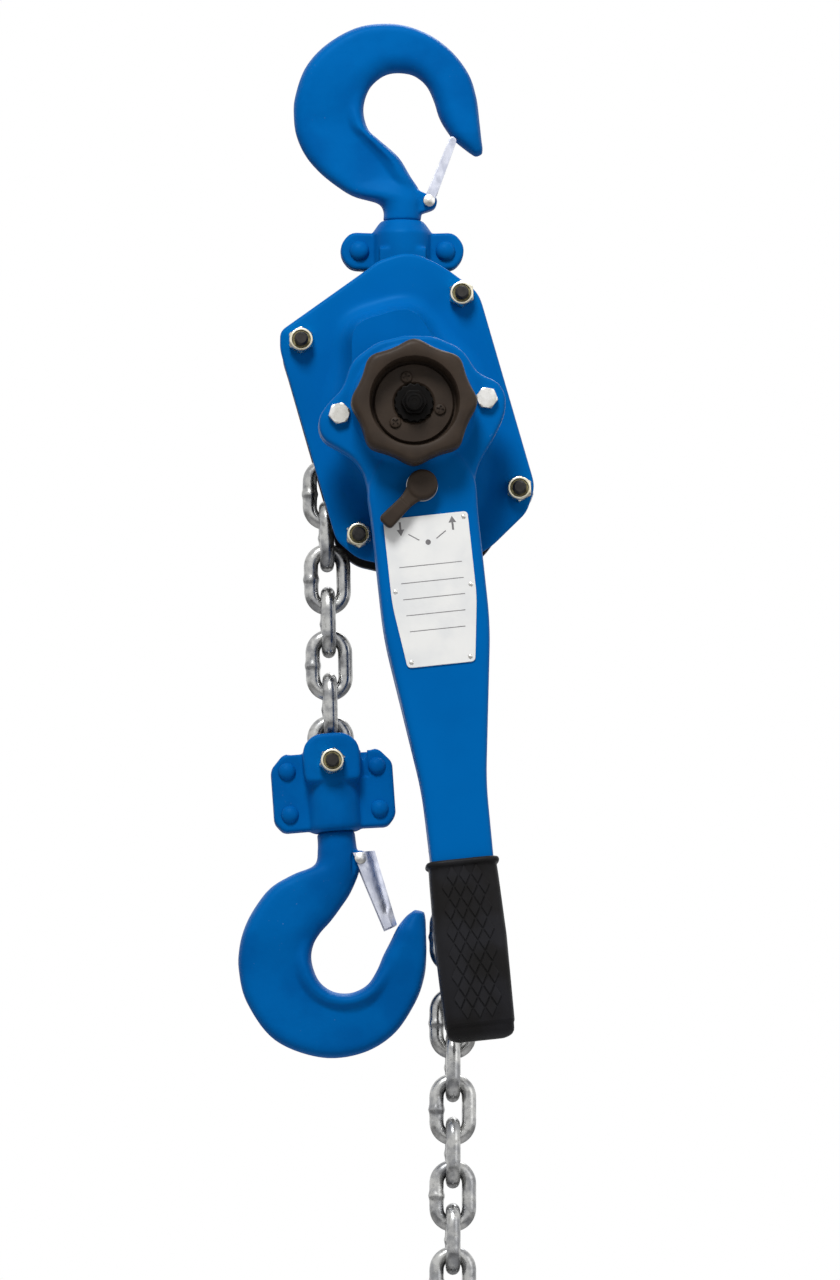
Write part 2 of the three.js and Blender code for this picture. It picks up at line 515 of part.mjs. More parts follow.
// ---------------------------------------------------------------- gear train (rear)
const gearHalf = (n) => 180 / n;
add(body, "load_gear", cut(gear(SECOND.module, SECOND.load, SECOND.y, 90), rod(JOURNAL.seat + GAP, 20, 34, 0, 0, 20)), "steel");
[["upper", 1], ["lower", -1]].forEach(([name, s]) =>
  add(body, `idler_gear_${name}`, join(
    gear(FIRST.module, FIRST.large, FIRST.y, -90 * s + gearHalf(FIRST.large)).translate([0, 0, s * centre]),
    gear(SECOND.module, SECOND.small, SECOND.y, -90 * s + gearHalf(SECOND.small)).translate([0, 0, s * centre]),
    rod(9, SECOND.y[1] - 1, FIRST.y[0] + 1, 0, s * centre),
    rod(SHAFT.tail, PLATE.inner + 0.6, COVER.back - 2.6, 0, s * centre, 10),
  ), "steel"));
add(body, "drive_shaft", join(
  turned([
    [0, -95], [SHAFT.thread, -95], [SHAFT.thread, -85.6], [SHAFT.front, -85.6], [SHAFT.front, -22.6],
    [SHAFT.r, -22.6], [SHAFT.r, 31.8], [6, 31.8], [6, 40.4], [SHAFT.tail, 40.4],
    [SHAFT.tail, COVER.back - 2.6], [0, COVER.back - 2.6],
  ], 16),
  gear(FIRST.module, FIRST.pinion, [FIRST.y[0] - 0.4, FIRST.y[1] + 0.4], 90),
), "steel");

// ---------------------------------------------------------------- brake and ratchet (front)
const collar = (r, from, to, bore, sides = 18) => cut(rod(r, from, to, 0, 0, sides), rod(bore, from - 1, to + 1, 0, 0, sides));
add(body, "brake_hub", cut(
  join(rod(12, -29, -22.9, 0, 0, 16), rod(BRAKE.r, -29.4, -26.6, 0, 0, 20), rod(BRAKE.sleeve, -39.4, -29, 0, 0, 16)),
  rod(SHAFT.front + GAP, -45, -20, 0, 0, 16),
), "steel");
add(body, "friction_disc_inner", collar(BRAKE.r, -31.9, -29.7, BRAKE.sleeve + GAP), "dark");
add(body, "friction_disc_outer", collar(BRAKE.r, -39.5, -37.3, BRAKE.sleeve + GAP), "dark");
const sawStep = 360 / BRAKE.teeth;
const saw = Array.from({ length: BRAKE.teeth }, (_, i) => i * sawStep + 128)
  .flatMap((a) => [polar(BRAKE.root, a), polar((BRAKE.root + BRAKE.ratchet) / 2, a + sawStep * 0.48), polar(BRAKE.ratchet, a + sawStep * 0.97)]);
add(body, "ratchet_disc", cut(plate(saw, -37, -32.2), rod(BRAKE.sleeve + GAP, -40, -30, 0, 0, 20)), "steel");
pawlSides.forEach((s, i) => {
  const nose = [[-24.5, 22.5], [-21.5, 19], [-19.4, 21.8], [-17, 28]];
  const made = join(
    plate([...arc(0, BRAKE.pawlZ, 5.5, -10, 190, 8), ...nose], -36.6, -32.6),
    rod(PAWL_PIN, -38.8, -PLATE.inner - 0.5, 0, BRAKE.pawlZ, 16),
  );
  add(body, `brake_pawl_${i + 1}`, s > 0 ? made : spin(made, 180), "steel");
});

// ---------------------------------------------------------------- lever
const leverHalf = [
  [0, 40, 0], [16, 38, 5], [31, 29, 6], [38, 14, 5], [50, 9, 4], [53.5, 1, 4], [51, -8, 4], [42, -25, 6], [31, -42, 6],
  [29.5, -62, 6], [29.5, -125, 14],
];
const tailHalf = [[17.4, -214, 12], [16.8, LEVER.tail, 5]];
const leverOutline = rounded(mirrored([...leverHalf, ...tailHalf]).filter(([x, z], i, a) => !(i === a.length - 1)), 2);
const handle = rounded(mirrored([[22, -28, 8], [30.5, -43, 7], [29.5, -62, 6], [29.5, -125, 14], [17.8, -212, 12], [17.4, -255, 8]]));
const hollow = [[-25.5, -60], [-25.5, -124], [-13, -205], [13, -205], [25.5, -124], [25.5, -60]];
const leverBolts = [-LEVER.bolt, LEVER.bolt];

function leverShell(base, panel, drum, bore, cavity) {
  return cut(
    join(plate(leverOutline, ...base, 2.4, 1), plate(handle, ...panel, 3.5, 1), drum),
    rod(bore, -99, 0, 0, 0, 20),
    rod(30.5, ...cavity[0], 0, 0, 20),
    rod(SELECTOR.horn + 1, ...cavity[1], 0, SELECTOR.z, 16),
    plate(hollow, ...cavity[1]),
    ...leverBolts.map((x) => rod(3 + GAP, -99, 0, x, 0, 12)),
  );
}
const drumTop = (r, face) => [[0, face], [r - 5, face], [r - 1.5, face + Math.sign(LEVER.split - face) * 1.5],
  [r, face + Math.sign(LEVER.split - face) * 5], [r, LEVER.split], [0, LEVER.split]];
const splitFront = LEVER.split - GAP;
add(lever, "lever_front_shell", cut(
  leverShell([LEVER.face, splitFront + 2.4], [-74, splitFront + 3.5], turned(drumTop(LEVER.drum, LEVER.front)), 12.5,
    [[-75, -55], [-70.6, -55]]).intersect(block(-99, 99, -99, splitFront, -400, 99)),
  rod(SELECTOR.shaft + GAP, -99, 0, 0, SELECTOR.z, 20),
), "blue");
add(lever, "lever_rear_shell",
  leverShell([LEVER.split - 2.4, LEVER.rear], [LEVER.split - 3.5, -48.5], turned(drumTop(LEVER.drum, LEVER.back)), 15.5,
    [[-66, -48], [-66, -51.5]]).intersect(block(-99, 99, LEVER.split, 0, -400, 99)), "blue");
[["left", -1], ["right", 1]].forEach(([side, s]) =>
  add(lever, `lever_bolt_${side}`, join(
    plate(hexagon(6.1, s * LEVER.bolt, 0, 10), LEVER.face - GAP - 4, LEVER.face - GAP),
    rod(3, LEVER.face - 1, LEVER.rear + 1, s * LEVER.bolt, 0, 16),
    rod(5.2, LEVER.rear + GAP, LEVER.rear + 2.8, s * LEVER.bolt, 0, 16),
  ), "steel"));
const gripBox = (half, high, low, lip, round) =>
  plate(rounded(mirrored([[half, high, round], [half, low, round]])), GRIP.front - lip, GRIP.back + lip, round * 0.6, 3);
add(lever, "grip", cut(
  join(gripBox(GRIP.half, GRIP.top - 1, GRIP.low, 0, 9), gripBox(GRIP.half + 1.5, GRIP.top, GRIP.top - 6, 1, 2.6)),
  block(-GRIP.pocket, GRIP.pocket, LEVER.face - 0.4, LEVER.rear + 0.4, LEVER.tail - 0.6, 0),
), "black");
add(lever, "name_plate", plate(rounded(mirrored([[23.5, -61.5, 2.5], [23.5, -109, 6], [18.8, -145, 2.5]])), -74.9, -74.3), "plate");
const PIVOT_RIM = 10;
add(lever, "selector_knob", join(
  rod(SELECTOR.r, -84, -75.4, 0, SELECTOR.z, 16),
  rod(PIVOT_RIM, -75.6, -74.4, 0, SELECTOR.z, 16),
  rod(SELECTOR.shaft, -75, -55.8, 0, SELECTOR.z, 20),
  spin(plate(rounded([[-4.2, 0, 0], [-4.6, -SELECTOR.arm, 2.8], [4.6, -SELECTOR.arm, 2.8], [4.2, 0, 0]]), -83.4, -76.6, 1.4),
    SELECTOR.turn).translate([0, 0, SELECTOR.z]),
), "dark");
const hornAt = (a) => polar(SELECTOR.horn, a);
add(lever, "selector_pawl", cut(
  join(
    rod(8, -69.8, -56.4, 0, 0, 20),
    plate([polar(7, 170), polar(7, 10), hornAt(54), hornAt(64), polar(12, 90), hornAt(116), hornAt(126)], -69, -58)
      ,
  ),
  rod(SELECTOR.shaft + GAP, -80, -50, 0, 0, 16),
).rotate([0, -SELECTOR.turn, 0]).translate([0, 0, SELECTOR.z]), "steel");
const changeTeeth = Array.from({ length: 12 }, (_, i) => i * 30)
  .flatMap((a) => [polar(16, a - 10), polar(20, a - 5), polar(20, a + 5), polar(16, a + 10)]);
add(lever, "change_gear", cut(
  join(rod(BRAKE.r, -42.5, -39.8, 0, 0, 20), rod(15, -53, -42, 0, 0, 20), plate(changeTeeth, -68, -52), rod(12, -79.7, -67, 0, 0, 16)),
  rod(SHAFT.front + GAP, -99, 0, 0, 0, 20),
), "steel");

// ---------------------------------------------------------------- hand wheel
const wheelOutline = Array.from({ length: 48 }, (_, i) => {
  const a = (i * 360) / 48;
  return polar(WHEEL.r + WHEEL.lobe * Math.cos(deg(WHEEL.lobes * (a - 90))), a);
});
add(hub, "handwheel", cut(
  plate(wheelOutline, WHEEL.front, WHEEL.back, 3, 1),
  rod(WHEEL.cup, -110, WHEEL.floor, 0, 0, 20),
  rod(SHAFT.front + GAP, -110, 0, 0, 0, 20),
), "dark");
const screws = [105, -15, -135].map((a) => polar(14.5, a));
add(hub, "handwheel_disc", cut(
  join(rod(22, WHEEL.floor - 2.5, WHEEL.floor - GAP, 0, 0, 20), ...screws.map(([x, z]) => rod(3.2, WHEEL.floor - 3.9, WHEEL.floor - 2, x, z, 10))),
  rod(11, -99, 0, 0, 0, 20),
), "dark");
add(hub, "shaft_nut", cut(plate(hexagon(9, 0, 0, 0), -92.4, WHEEL.floor - GAP), rod(SHAFT.thread + GAP, -99, 0, 0, 0, 16)), "dark");

// ---------------------------------------------------------------- bottom block and hook
const pinDrop = RUN.loadLinks * CHAIN.pitch - CHAIN.wire / 2 - 2 * GAP;
const lowAt = along(pinDrop / CHAIN.pitch);
const low = frameAt(HUB_X + lowAt[0], HUB_Z + lowAt[1], TURN.block);
const LOW = { barrel: 17, low: -38, slot: 4.9, ring: 14.8, head: [-30, -20], lobe: 6, wall: 13.7, boss: 11.2 };
hook(low, "bottom", LOW_HOOK, [12.3, -54], [25.7, -91.5],
  join(post(SHANK.r, -42, -25), post(SHANK.headR, LOW.head[0] + 0.6, LOW.head[1] - 0.6)), -23);
const lowFlange = rounded(mirrored([[12, 7, 2], [29, 6, 5], [34, 0, 4], [34, -30, 4], [28, -36.5, 3], [12, -36.5, 0]]), 1);
const lowRivets = [-1, 1].flatMap((s) => [-3, -27].map((z) => [s * 25, z]));
const swing = [...arc(0, 0, 60, 25, 155, 4), ...arc(0, 0, LOW.boss, 155, 25, 8)];
const bottomYoke = cut(
  join(
    plate(lowFlange, -LOW.lobe, LOW.lobe, 1.2, 1),
    turnedZ([[0, LOW.low], [12, LOW.low], [15, LOW.low + 3], [16, -12], [LOW.barrel, -9], [LOW.barrel, -6], [0, -6]]),
    plate(rounded([[-15, -12, 0], [-16, 10, 6], [-9, 16.5, 5], [9, 16.5, 5], [16, 10, 6], [15, -12, 0]].reverse()), -LOW.barrel, LOW.barrel, 1.4, 1),
  ),
  plate(swing, -LOW.wall, LOW.wall),
  plate([...arc(0, 0, LOW.ring, 180, 360, 8), [60, 60], [-60, 60]], -LOW.slot, LOW.slot),
  post(SHANK.r + GAP, -50, -25),
  post(YOKE.head, LOW.head[0], LOW.head[1]),
  rod(CHAIN.wire / 2 + GAP, -20, 20, 0, 0, 16),
);
[["front", -1], ["rear", 1]].forEach(([side, s]) => {
  const heads = lowRivets.map(([x, z]) => turned([[0, 5], [5, 5], [4.6, 8], [2.5, 9.4], [0, 9.7]], 9)
    .rotate([s < 0 ? 180 : 0, 0, 0]).translate([x, 0, z]));
  add(low, `bottom_yoke_${side}`, join(halfOf(bottomYoke, s < 0), ...heads), "blue");
});
add(low, "chain_pin", join(
  rod(CHAIN.wire / 2, -27, 18, 0, 0, 16),
  rod(7, LOW.barrel + GAP, LOW.barrel + 4.5, 0, 0, 20),
), "black");
add(low, "chain_pin_nut", cut(
  join(plate(hexagon(NUT.r, 0, 0, 16), -LOW.barrel - GAP - NUT.hex, -LOW.barrel - GAP), rod(6.2, -LOW.barrel - GAP - 7.4, -LOW.barrel - 1, 0, 0, 16)),
  rod(CHAIN.wire / 2 + GAP, -40, 0, 0, 0, 16),
), "zinc");

export default root;
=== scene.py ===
"""Lever chain hoist: the fine visual model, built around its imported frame.

Sizes are in millimetres and angles in degrees, anticlockwise seen from the front (-Y).
Each sub-assembly is a class: its fields are its sizes, its methods make its pieces, and dress gives
each piece its finish and its body.
"""

from __future__ import annotations

import json
import logging
import math
from dataclasses import dataclass, field
from enum import Enum
from typing import Callable, Iterable, NamedTuple, Sequence

import bpy
import numpy as np
from mathutils import Matrix, Vector

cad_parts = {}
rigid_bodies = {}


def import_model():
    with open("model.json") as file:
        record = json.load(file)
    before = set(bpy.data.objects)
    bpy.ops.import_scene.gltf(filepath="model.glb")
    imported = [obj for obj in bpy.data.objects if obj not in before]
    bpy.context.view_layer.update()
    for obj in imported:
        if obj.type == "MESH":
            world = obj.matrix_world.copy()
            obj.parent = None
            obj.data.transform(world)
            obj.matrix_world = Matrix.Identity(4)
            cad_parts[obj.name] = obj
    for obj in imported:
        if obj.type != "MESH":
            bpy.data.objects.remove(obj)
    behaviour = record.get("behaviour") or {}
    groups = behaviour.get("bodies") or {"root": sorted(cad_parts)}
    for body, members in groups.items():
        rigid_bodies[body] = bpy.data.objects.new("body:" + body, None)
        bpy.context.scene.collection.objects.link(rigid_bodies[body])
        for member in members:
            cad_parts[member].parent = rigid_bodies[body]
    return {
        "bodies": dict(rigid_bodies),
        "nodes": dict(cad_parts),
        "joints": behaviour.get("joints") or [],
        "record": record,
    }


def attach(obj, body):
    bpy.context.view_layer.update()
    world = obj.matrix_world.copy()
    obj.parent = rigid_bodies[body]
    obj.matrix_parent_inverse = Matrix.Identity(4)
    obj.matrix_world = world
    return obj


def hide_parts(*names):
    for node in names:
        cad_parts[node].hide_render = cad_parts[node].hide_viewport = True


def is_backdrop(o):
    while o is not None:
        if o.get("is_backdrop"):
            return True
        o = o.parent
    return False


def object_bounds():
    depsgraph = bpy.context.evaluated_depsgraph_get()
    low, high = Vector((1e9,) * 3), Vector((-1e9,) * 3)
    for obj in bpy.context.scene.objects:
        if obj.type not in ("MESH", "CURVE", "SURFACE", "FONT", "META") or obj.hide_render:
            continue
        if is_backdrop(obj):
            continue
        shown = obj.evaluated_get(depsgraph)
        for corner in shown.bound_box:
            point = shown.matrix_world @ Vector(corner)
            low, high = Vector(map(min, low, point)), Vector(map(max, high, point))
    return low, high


MM = 0.001
FAR = 99.0  # past every piece, where a cut goes right through
AXIS = 0.01  # the radius at which a turned section closes on its axis
LEDGE = 0.25  # the flat ring inside a rounded edge
MOST_EDGE = 0.45  # the share of an edge that one rounding takes at most
UPRIGHT = Matrix.Rotation(math.radians(90), 4, "X")  # stands a piece that was turned about Y up along Z
LOG = logging.getLogger("hoist")
Flat = Sequence[tuple[float, float]]
Corner = tuple[float, float, float]


# ---------------------------------------------------------------- outlines
def polar(r: float, angle: float, x: float = 0.0, z: float = 0.0) -> tuple[float, float]:
    """The point at a radius and an angle about (x, z)."""
    return x + r * math.cos(math.radians(angle)), z + r * math.sin(math.radians(angle))


def arc(x: float, z: float, r: float, start: float, end: float, steps: int = 16) -> list[tuple[float, float]]:
    """Points along an arc about (x, z), from angle start to angle end."""
    return [polar(r, start + (end - start) * i / steps, x, z) for i in range(steps + 1)]


def circle(r: float, x: float = 0.0, z: float = 0.0, sides: int = 48) -> list[tuple[float, float]]:
    """A closed ring of points."""
    return arc(x, z, r, 0, 360 - 360 / sides, sides - 1)


def hexagon(r: float, x: float = 0.0, z: float = 0.0, turn: float = 0.0) -> list[tuple[float, float]]:
    """The six corners of a hexagon."""
    return arc(x, z, r, turn, turn + 300, 5)


def rounded(corners: Iterable[Corner], steps: int = 8) -> list[tuple[float, float]]:
    """An outline whose corners (x, z, cut length) are rounded.

    Args:
        corners: each corner with the length that its rounding takes from both edges.
        steps: points along each rounding.

    Returns:
        The points of the closed outline.
    """
    corners = list(corners)
    made: list[tuple[float, float]] = []
    for i, (x, z, r) in enumerate(corners):
        if not r:
            made.append((x, z))
            continue
        ends = []
        for other in (corners[i - 1], corners[(i + 1) % len(corners)]):
            away = math.hypot(other[0] - x, other[1] - z)
            share = min(r / away, MOST_EDGE)
            ends.append((x + (other[0] - x) * share, z + (other[1] - z) * share))
        for k in range(steps + 1):
            t = k / steps
            first, middle, last = (1 - t) ** 2, 2 * t * (1 - t), t * t
            made.append(tuple(first * ends[0][j] + middle * (x, z)[j] + last * ends[1][j] for j in (0, 1)))
    return made


def mirrored(half: Sequence[Corner]) -> list[Corner]:
    """The right half of an outline, joined to its mirror image."""
    return [*half, *[(-x, z, r) for x, z, r in reversed(half)]]


def offset(outline: Flat, by: float) -> np.ndarray:
    """The outline moved inwards by a distance, corner by corner."""
    p = np.array(outline, float)
    before, after = p - np.roll(p, 1, 0), np.roll(p, -1, 0) - p
    turn = np.sign(np.sum(p[:, 0] * np.roll(p[:, 1], -1) - np.roll(p[:, 0], -1) * p[:, 1]))
    normals = []
    for d in (before, after):
        length = np.maximum(np.linalg.norm(d, axis=1), 1e-9)[:, None]
        normals.append(np.stack([-d[:, 1], d[:, 0]], 1) / length * turn)
    middle = normals[0] + normals[1]
    return p + middle * (2 * by / np.maximum(np.sum(middle**2, 1), 0.8))[:, None]


def catmull(points: np.ndarray, count: int) -> np.ndarray:
    """Points along a smooth curve through the given ones, spaced evenly by their index."""
    padded = np.vstack([2 * points[0] - points[1], points, 2 * points[-1] - points[-2]])
    made = []
    for t in np.linspace(0, len(points) - 1, count):
        i = min(int(t), len(points) - 2)
        u = t - i
        a, b, c, d = padded[i : i + 4]
        made.append(
            0.5 * (2 * b + (c - a) * u + (2 * a - 5 * b + 4 * c - d) * u**2 + (3 * b - a - 3 * c + d) * u**3)
        )
    return np.array(made)


def smoothstep(t: float, low: float, high: float) -> float:
    """A smooth rise from 0 at low to 1 at high."""
    u = min(1.0, max(0.0, (t - low) / (high - low)))
    return u * u * (3 - 2 * u)


# ---------------------------------------------------------------- solids
@dataclass(frozen=True)
class Place:
    """A working frame in the plane of the chain: its origin and its turn."""

    x: float = 0.0
    z: float = 0.0
    turn: float = 0.0

    def matrix(self) -> Matrix:
        """The frame as a matrix in millimetres."""
        return Matrix.Translation((self.x, 0, self.z)) @ Matrix.Rotation(math.radians(-self.turn), 4, "Y")

    def metres(self) -> Matrix:
        """The same frame for a mesh that is already in metres."""
        made = self.matrix()
        made.translation *= MM
        return made

    def point(self, x: float, z: float, y: float = 0.0) -> Vector:
        """A point of this frame, in metres in the row frame."""
        return self.matrix() @ Vector((x, y, z)) * MM


class Solid:
    """A closed mesh in the making, in its own working frame."""

    def __init__(self, points: np.ndarray, faces: list[tuple[int, ...]]) -> None:
        """Takes the points and the faces, and turns the faces outwards."""
        self.points = np.array(points, float)
        self.faces = faces
        volume = 0.0
        for f in faces:
            a = self.points[f[0]]
            for i in range(1, len(f) - 1):
                volume += float(np.dot(a, np.cross(self.points[f[i]], self.points[f[i + 1]])))
        if volume < 0:
            self.faces = [tuple(reversed(f)) for f in faces]

    @staticmethod
    def loft(rings: Sequence[np.ndarray], closed: bool = False) -> Solid:
        """A skin over rings of equal point count.

        Args:
            rings: the rings, each an array of points (x, y, z).
            closed: joins the last ring to the first instead of capping both.

        Returns:
            The closed solid.
        """
        n, m = len(rings[0]), len(rings)
        faces: list[tuple[int, ...]] = []
        for i in range(m if closed else m - 1):
            low, high = i * n, ((i + 1) % m) * n
            faces += [(low + k, low + (k + 1) % n, high + (k + 1) % n, high + k) for k in range(n)]
        if not closed:
            faces += [tuple(reversed(range(n))), tuple(range((m - 1) * n, m * n))]
        return Solid(np.vstack(rings), faces)

    @staticmethod
    def plate(outline: Flat, front: float, back: float, round_: float = 0.0, steps: int = 4) -> Solid:
        """A flat piece from y = front to y = back, with its edges rounded.

        Args:
            outline: the closed outline, as points (x, z).
            front: the front face.
            back: the rear face.
            round_: the radius of the edges.
            steps: facets round each edge.

        Returns:
            The closed solid.
        """
        levels: list[tuple[float, float]] = []
        if round_:
            levels.append((front, round_ + LEDGE))
            for i in range(steps + 1):
                a = math.pi / 2 * i / steps
                levels.append((front + round_ * (1 - math.cos(a)), round_ * (1 - math.sin(a))))
            levels += [(front + back - y, inset) for y, inset in reversed(levels)]
        else:
            levels = [(front, 0.0), (back, 0.0)]
        rings = []
        for y, inset in levels:
            flat = offset(outline, inset)
            rings.append(np.stack([flat[:, 0], np.full(len(flat), y), flat[:, 1]], 1))
        return Solid.loft(rings)

    @staticmethod
    def turned(section: Flat, sides: int = 64, lobe: Callable[[float, float], float] | None = None) -> Solid:
        """A piece turned about Y from its closed section of (radius, y).

        Args:
            section: the closed section.
            sides: facets round the axis.
            lobe: gives the radius at a radius and an angle, for a rim that isn't round.

        Returns:
            The closed solid.
        """
        rings = []
        for r, y in section:
            angles = [360 * k / sides for k in range(sides)]
            rings.append(np.array([(*polar(lobe(r, a) if lobe else r, a), y) for a in angles])[:, [0, 2, 1]])
        return Solid.loft(rings, closed=True)

    @staticmethod
    def rod(
        r: float, front: float, back: float, x: float = 0.0, z: float = 0.0, edge: float = 0.0,
        sides: int = 40,
    ) -> Solid:
        """A round bar along Y."""
        return Solid.plate(circle(r, x, z, sides), front, back, edge, 3)

    @staticmethod
    def box(x0: float, x1: float, y0: float, y1: float, z0: float, z1: float, round_: float = 0.0) -> Solid:
        """A block with rounded front and rear edges."""
        return Solid.plate([(x0, z0), (x1, z0), (x1, z1), (x0, z1)], y0, y1, round_)

    def moved(self, matrix: Matrix) -> Solid:
        """This solid after a placing."""
        m = np.array(matrix)
        return Solid(self.points @ m[:3, :3].T + m[:3, 3], self.faces)

    def shifted(self, x: float = 0.0, y: float = 0.0, z: float = 0.0) -> Solid:
        """This solid moved along the axes."""
        return self.moved(Matrix.Translation((x, y, z)))

    def spun(self, angle: float) -> Solid:
        """This solid turned about Y."""
        return self.moved(Matrix.Rotation(math.radians(-angle), 4, "Y"))

    def flipped(self) -> Solid:
        """This solid mirrored front to rear."""
        return Solid(self.points * np.array([1, -1, 1]), self.faces)

    def object(self, name: str, place: Place = Place()) -> bpy.types.Object:
        """A Blender object of this solid, in metres in the row frame."""
        m = np.array(place.matrix())
        mesh = bpy.data.meshes.new(name)
        mesh.from_pydata(((self.points @ m[:3, :3].T + m[:3, 3]) * MM).tolist(), [], self.faces)
        mesh.validate()
        made = bpy.data.objects.new(name, mesh)
        bpy.context.scene.collection.objects.link(made)
        return made


class Melt(NamedTuple):
    """How far a piece's edges run into each other: facet size, smoothing passes, kept share of facets."""

    grain: float
    passes: int
    keep: float


FORGED = Melt(0.85, 3, 0.55)
CAST = Melt(0.75, 4, 0.6)
PRESSED = Melt(1.0, 6, 0.6)
MOULDED = Melt(0.45, 2, 0.5)


class Bench:
    """The tools that join, cut, melt and weld Blender objects."""

    @staticmethod
    def settle(made: bpy.types.Object) -> bpy.types.Object:
        """Applies an object's modifiers to its mesh."""
        graph = bpy.context.evaluated_depsgraph_get()
        old = made.data
        made.data = bpy.data.meshes.new_from_object(
            made.evaluated_get(graph), preserve_all_data_layers=True, depsgraph=graph,
        )
        made.modifiers.clear()
        bpy.data.meshes.remove(old)
        made.data.name = made.name
        return made

    @staticmethod
    def shape(
        name: str,
        place: Place,
        solids: Sequence[Solid],
        cuts: Sequence[Solid] = (),
        melt: Melt | None = None,
    ) -> bpy.types.Object:
        """One object of joined solids less the cuts.

        Args:
            name: the piece's name.
            place: the working frame of all the solids.
            solids: what is joined, in turn.
            cuts: what is then cut away.
            melt: how far the edges run into each other, if they do.

        Returns:
            The object, with its booleans applied.
        """
        made = solids[0].object(name)
        helpers = []
        for operation, group in (("UNION", solids[1:]), ("DIFFERENCE", cuts)):
            for solid in group:
                tool = solid.object(name + "_tool")
                step = made.modifiers.new("step", "BOOLEAN")
                step.operation, step.object, step.solver = operation, tool, "EXACT"
                helpers.append(tool)
        if helpers:
            bpy.context.view_layer.update()
            Bench.settle(made)
        for tool in helpers:
            data = tool.data
            bpy.data.objects.remove(tool)
            bpy.data.meshes.remove(data)
        if melt:
            Bench.melt(made, melt)
        made.data.transform(place.metres())
        return made

    @staticmethod
    def melt(made: bpy.types.Object, how: Melt) -> bpy.types.Object:
        """Runs the edges and corners of a joined piece into each other, as in a casting.

        Args:
            made: the object.
            how: the facet size, the smoothing passes and the kept share of the facets.

        Returns:
            The same object with its new mesh.
        """
        remesh = made.modifiers.new("remesh", "REMESH")
        remesh.mode, remesh.voxel_size, remesh.use_smooth_shade = "VOXEL", how.grain * MM, True
        smooth = made.modifiers.new("smooth", "SMOOTH")
        smooth.factor, smooth.iterations = 0.5, how.passes
        thin = made.modifiers.new("thin", "DECIMATE")
        thin.ratio = how.keep
        return Bench.settle(made)

    @staticmethod
    def weld(name: str, pieces: Sequence[bpy.types.Object]) -> bpy.types.Object:
        """Joins the meshes of several objects into the first, which takes the name."""
        if len(pieces) > 1:
            with bpy.context.temp_override(active_object=pieces[0], selected_editable_objects=list(pieces)):
                bpy.ops.object.join()
        pieces[0].name = pieces[0].data.name = name
        return pieces[0]


# ---------------------------------------------------------------- nodes
class Signal:
    """A socket whose value takes part in Python expressions."""

    def __init__(self, graph: Graph, socket: bpy.types.NodeSocket) -> None:
        """Wraps an output socket of a graph."""
        self.graph, self.socket = graph, socket

    def _math(self, operation: str, first: Signal | float, second: Signal | float = 0.0) -> Signal:
        """Adds one Math node."""
        return self.graph.node("ShaderNodeMath", {"operation": operation}, {0: first, 1: second})

    def __add__(self, other: Signal | float) -> Signal:
        """Sum."""
        return self._math("ADD", self, other)

    def __radd__(self, other: float) -> Signal:
        """Sum, from the right."""
        return self._math("ADD", other, self)

    def __sub__(self, other: Signal | float) -> Signal:
        """Difference."""
        return self._math("SUBTRACT", self, other)

    def __rsub__(self, other: float) -> Signal:
        """Difference, from the right."""
        return self._math("SUBTRACT", other, self)

    def __mul__(self, other: Signal | float) -> Signal:
        """Product."""
        return self._math("MULTIPLY", self, other)

    def __rmul__(self, other: float) -> Signal:
        """Product, from the right."""
        return self._math("MULTIPLY", other, self)

    def __truediv__(self, other: Signal | float) -> Signal:
        """Quotient."""
        return self._math("DIVIDE", self, other)

    def __pow__(self, other: float) -> Signal:
        """Power."""
        return self._math("POWER", self, other)

    def above(self, limit: float) -> Signal:
        """1 where the value is over a limit."""
        return self._math("GREATER_THAN", self, limit)

    def ramp(self, low: float, high: float) -> Signal:
        """0 up to low, 1 from high, and smooth between them."""
        return self.graph.node(
            "ShaderNodeMapRange", {"interpolation_type": "SMOOTHSTEP"},
            {"Value": self, "From Min": low, "From Max": high}
        )


class Graph:
    """A node tree under construction."""

    def __init__(self, tree: bpy.types.NodeTree) -> None:
        """Takes the tree that the nodes go into."""
        self.tree = tree

    def node(
        self,
        kind: str,
        settings: dict[str, object] | None = None,
        inputs: dict[str | int, object] | None = None,
        output: str | int = 0,
    ) -> Signal:
        """Adds a node.

        Args:
            kind: the node's type.
            settings: its properties, set first; "stops" are a colour ramp's (position, colour) pairs.
            inputs: its sockets' values, or the signals that feed them.
            output: the socket to hand back.

        Returns:
            The signal of that output.
        """
        made = self.tree.nodes.new(kind)
        for key, value in (settings or {}).items():
            setattr(made, key, value)
        for key, value in (inputs or {}).items():
            if isinstance(value, Signal):
                self.tree.links.new(value.socket, made.inputs[key])
            else:
                made.inputs[key].default_value = value
        return Signal(self, made.outputs[output] if len(made.outputs) else made.inputs[0])

    def noise(self, where: Signal, size: float, detail: float = 2.0, roughness: float = 0.5) -> Signal:
        """Noise whose patches are about size millimetres across."""
        return self.node(
            "ShaderNodeTexNoise", {},
            {"Vector": where, "Scale": 1 / (size * MM), "Detail": detail, "Roughness": roughness}
        )

    def blend(self, share: Signal | float, first: object, second: object) -> Signal:
        """A mix of two colours."""
        return self.node("ShaderNodeMix", {"data_type": "RGBA"}, {0: share, 6: first, 7: second}, 2)


def linear(red: int, green: int, blue: int) -> tuple[float, float, float, float]:
    """A display colour from 0 to 255, as scene-linear light."""
    part = [(c / 255 / 12.92) if c <= 10 else ((c / 255 + 0.055) / 1.055) ** 2.4 for c in (red, green, blue)]
    return (part[0], part[1], part[2], 1.0)


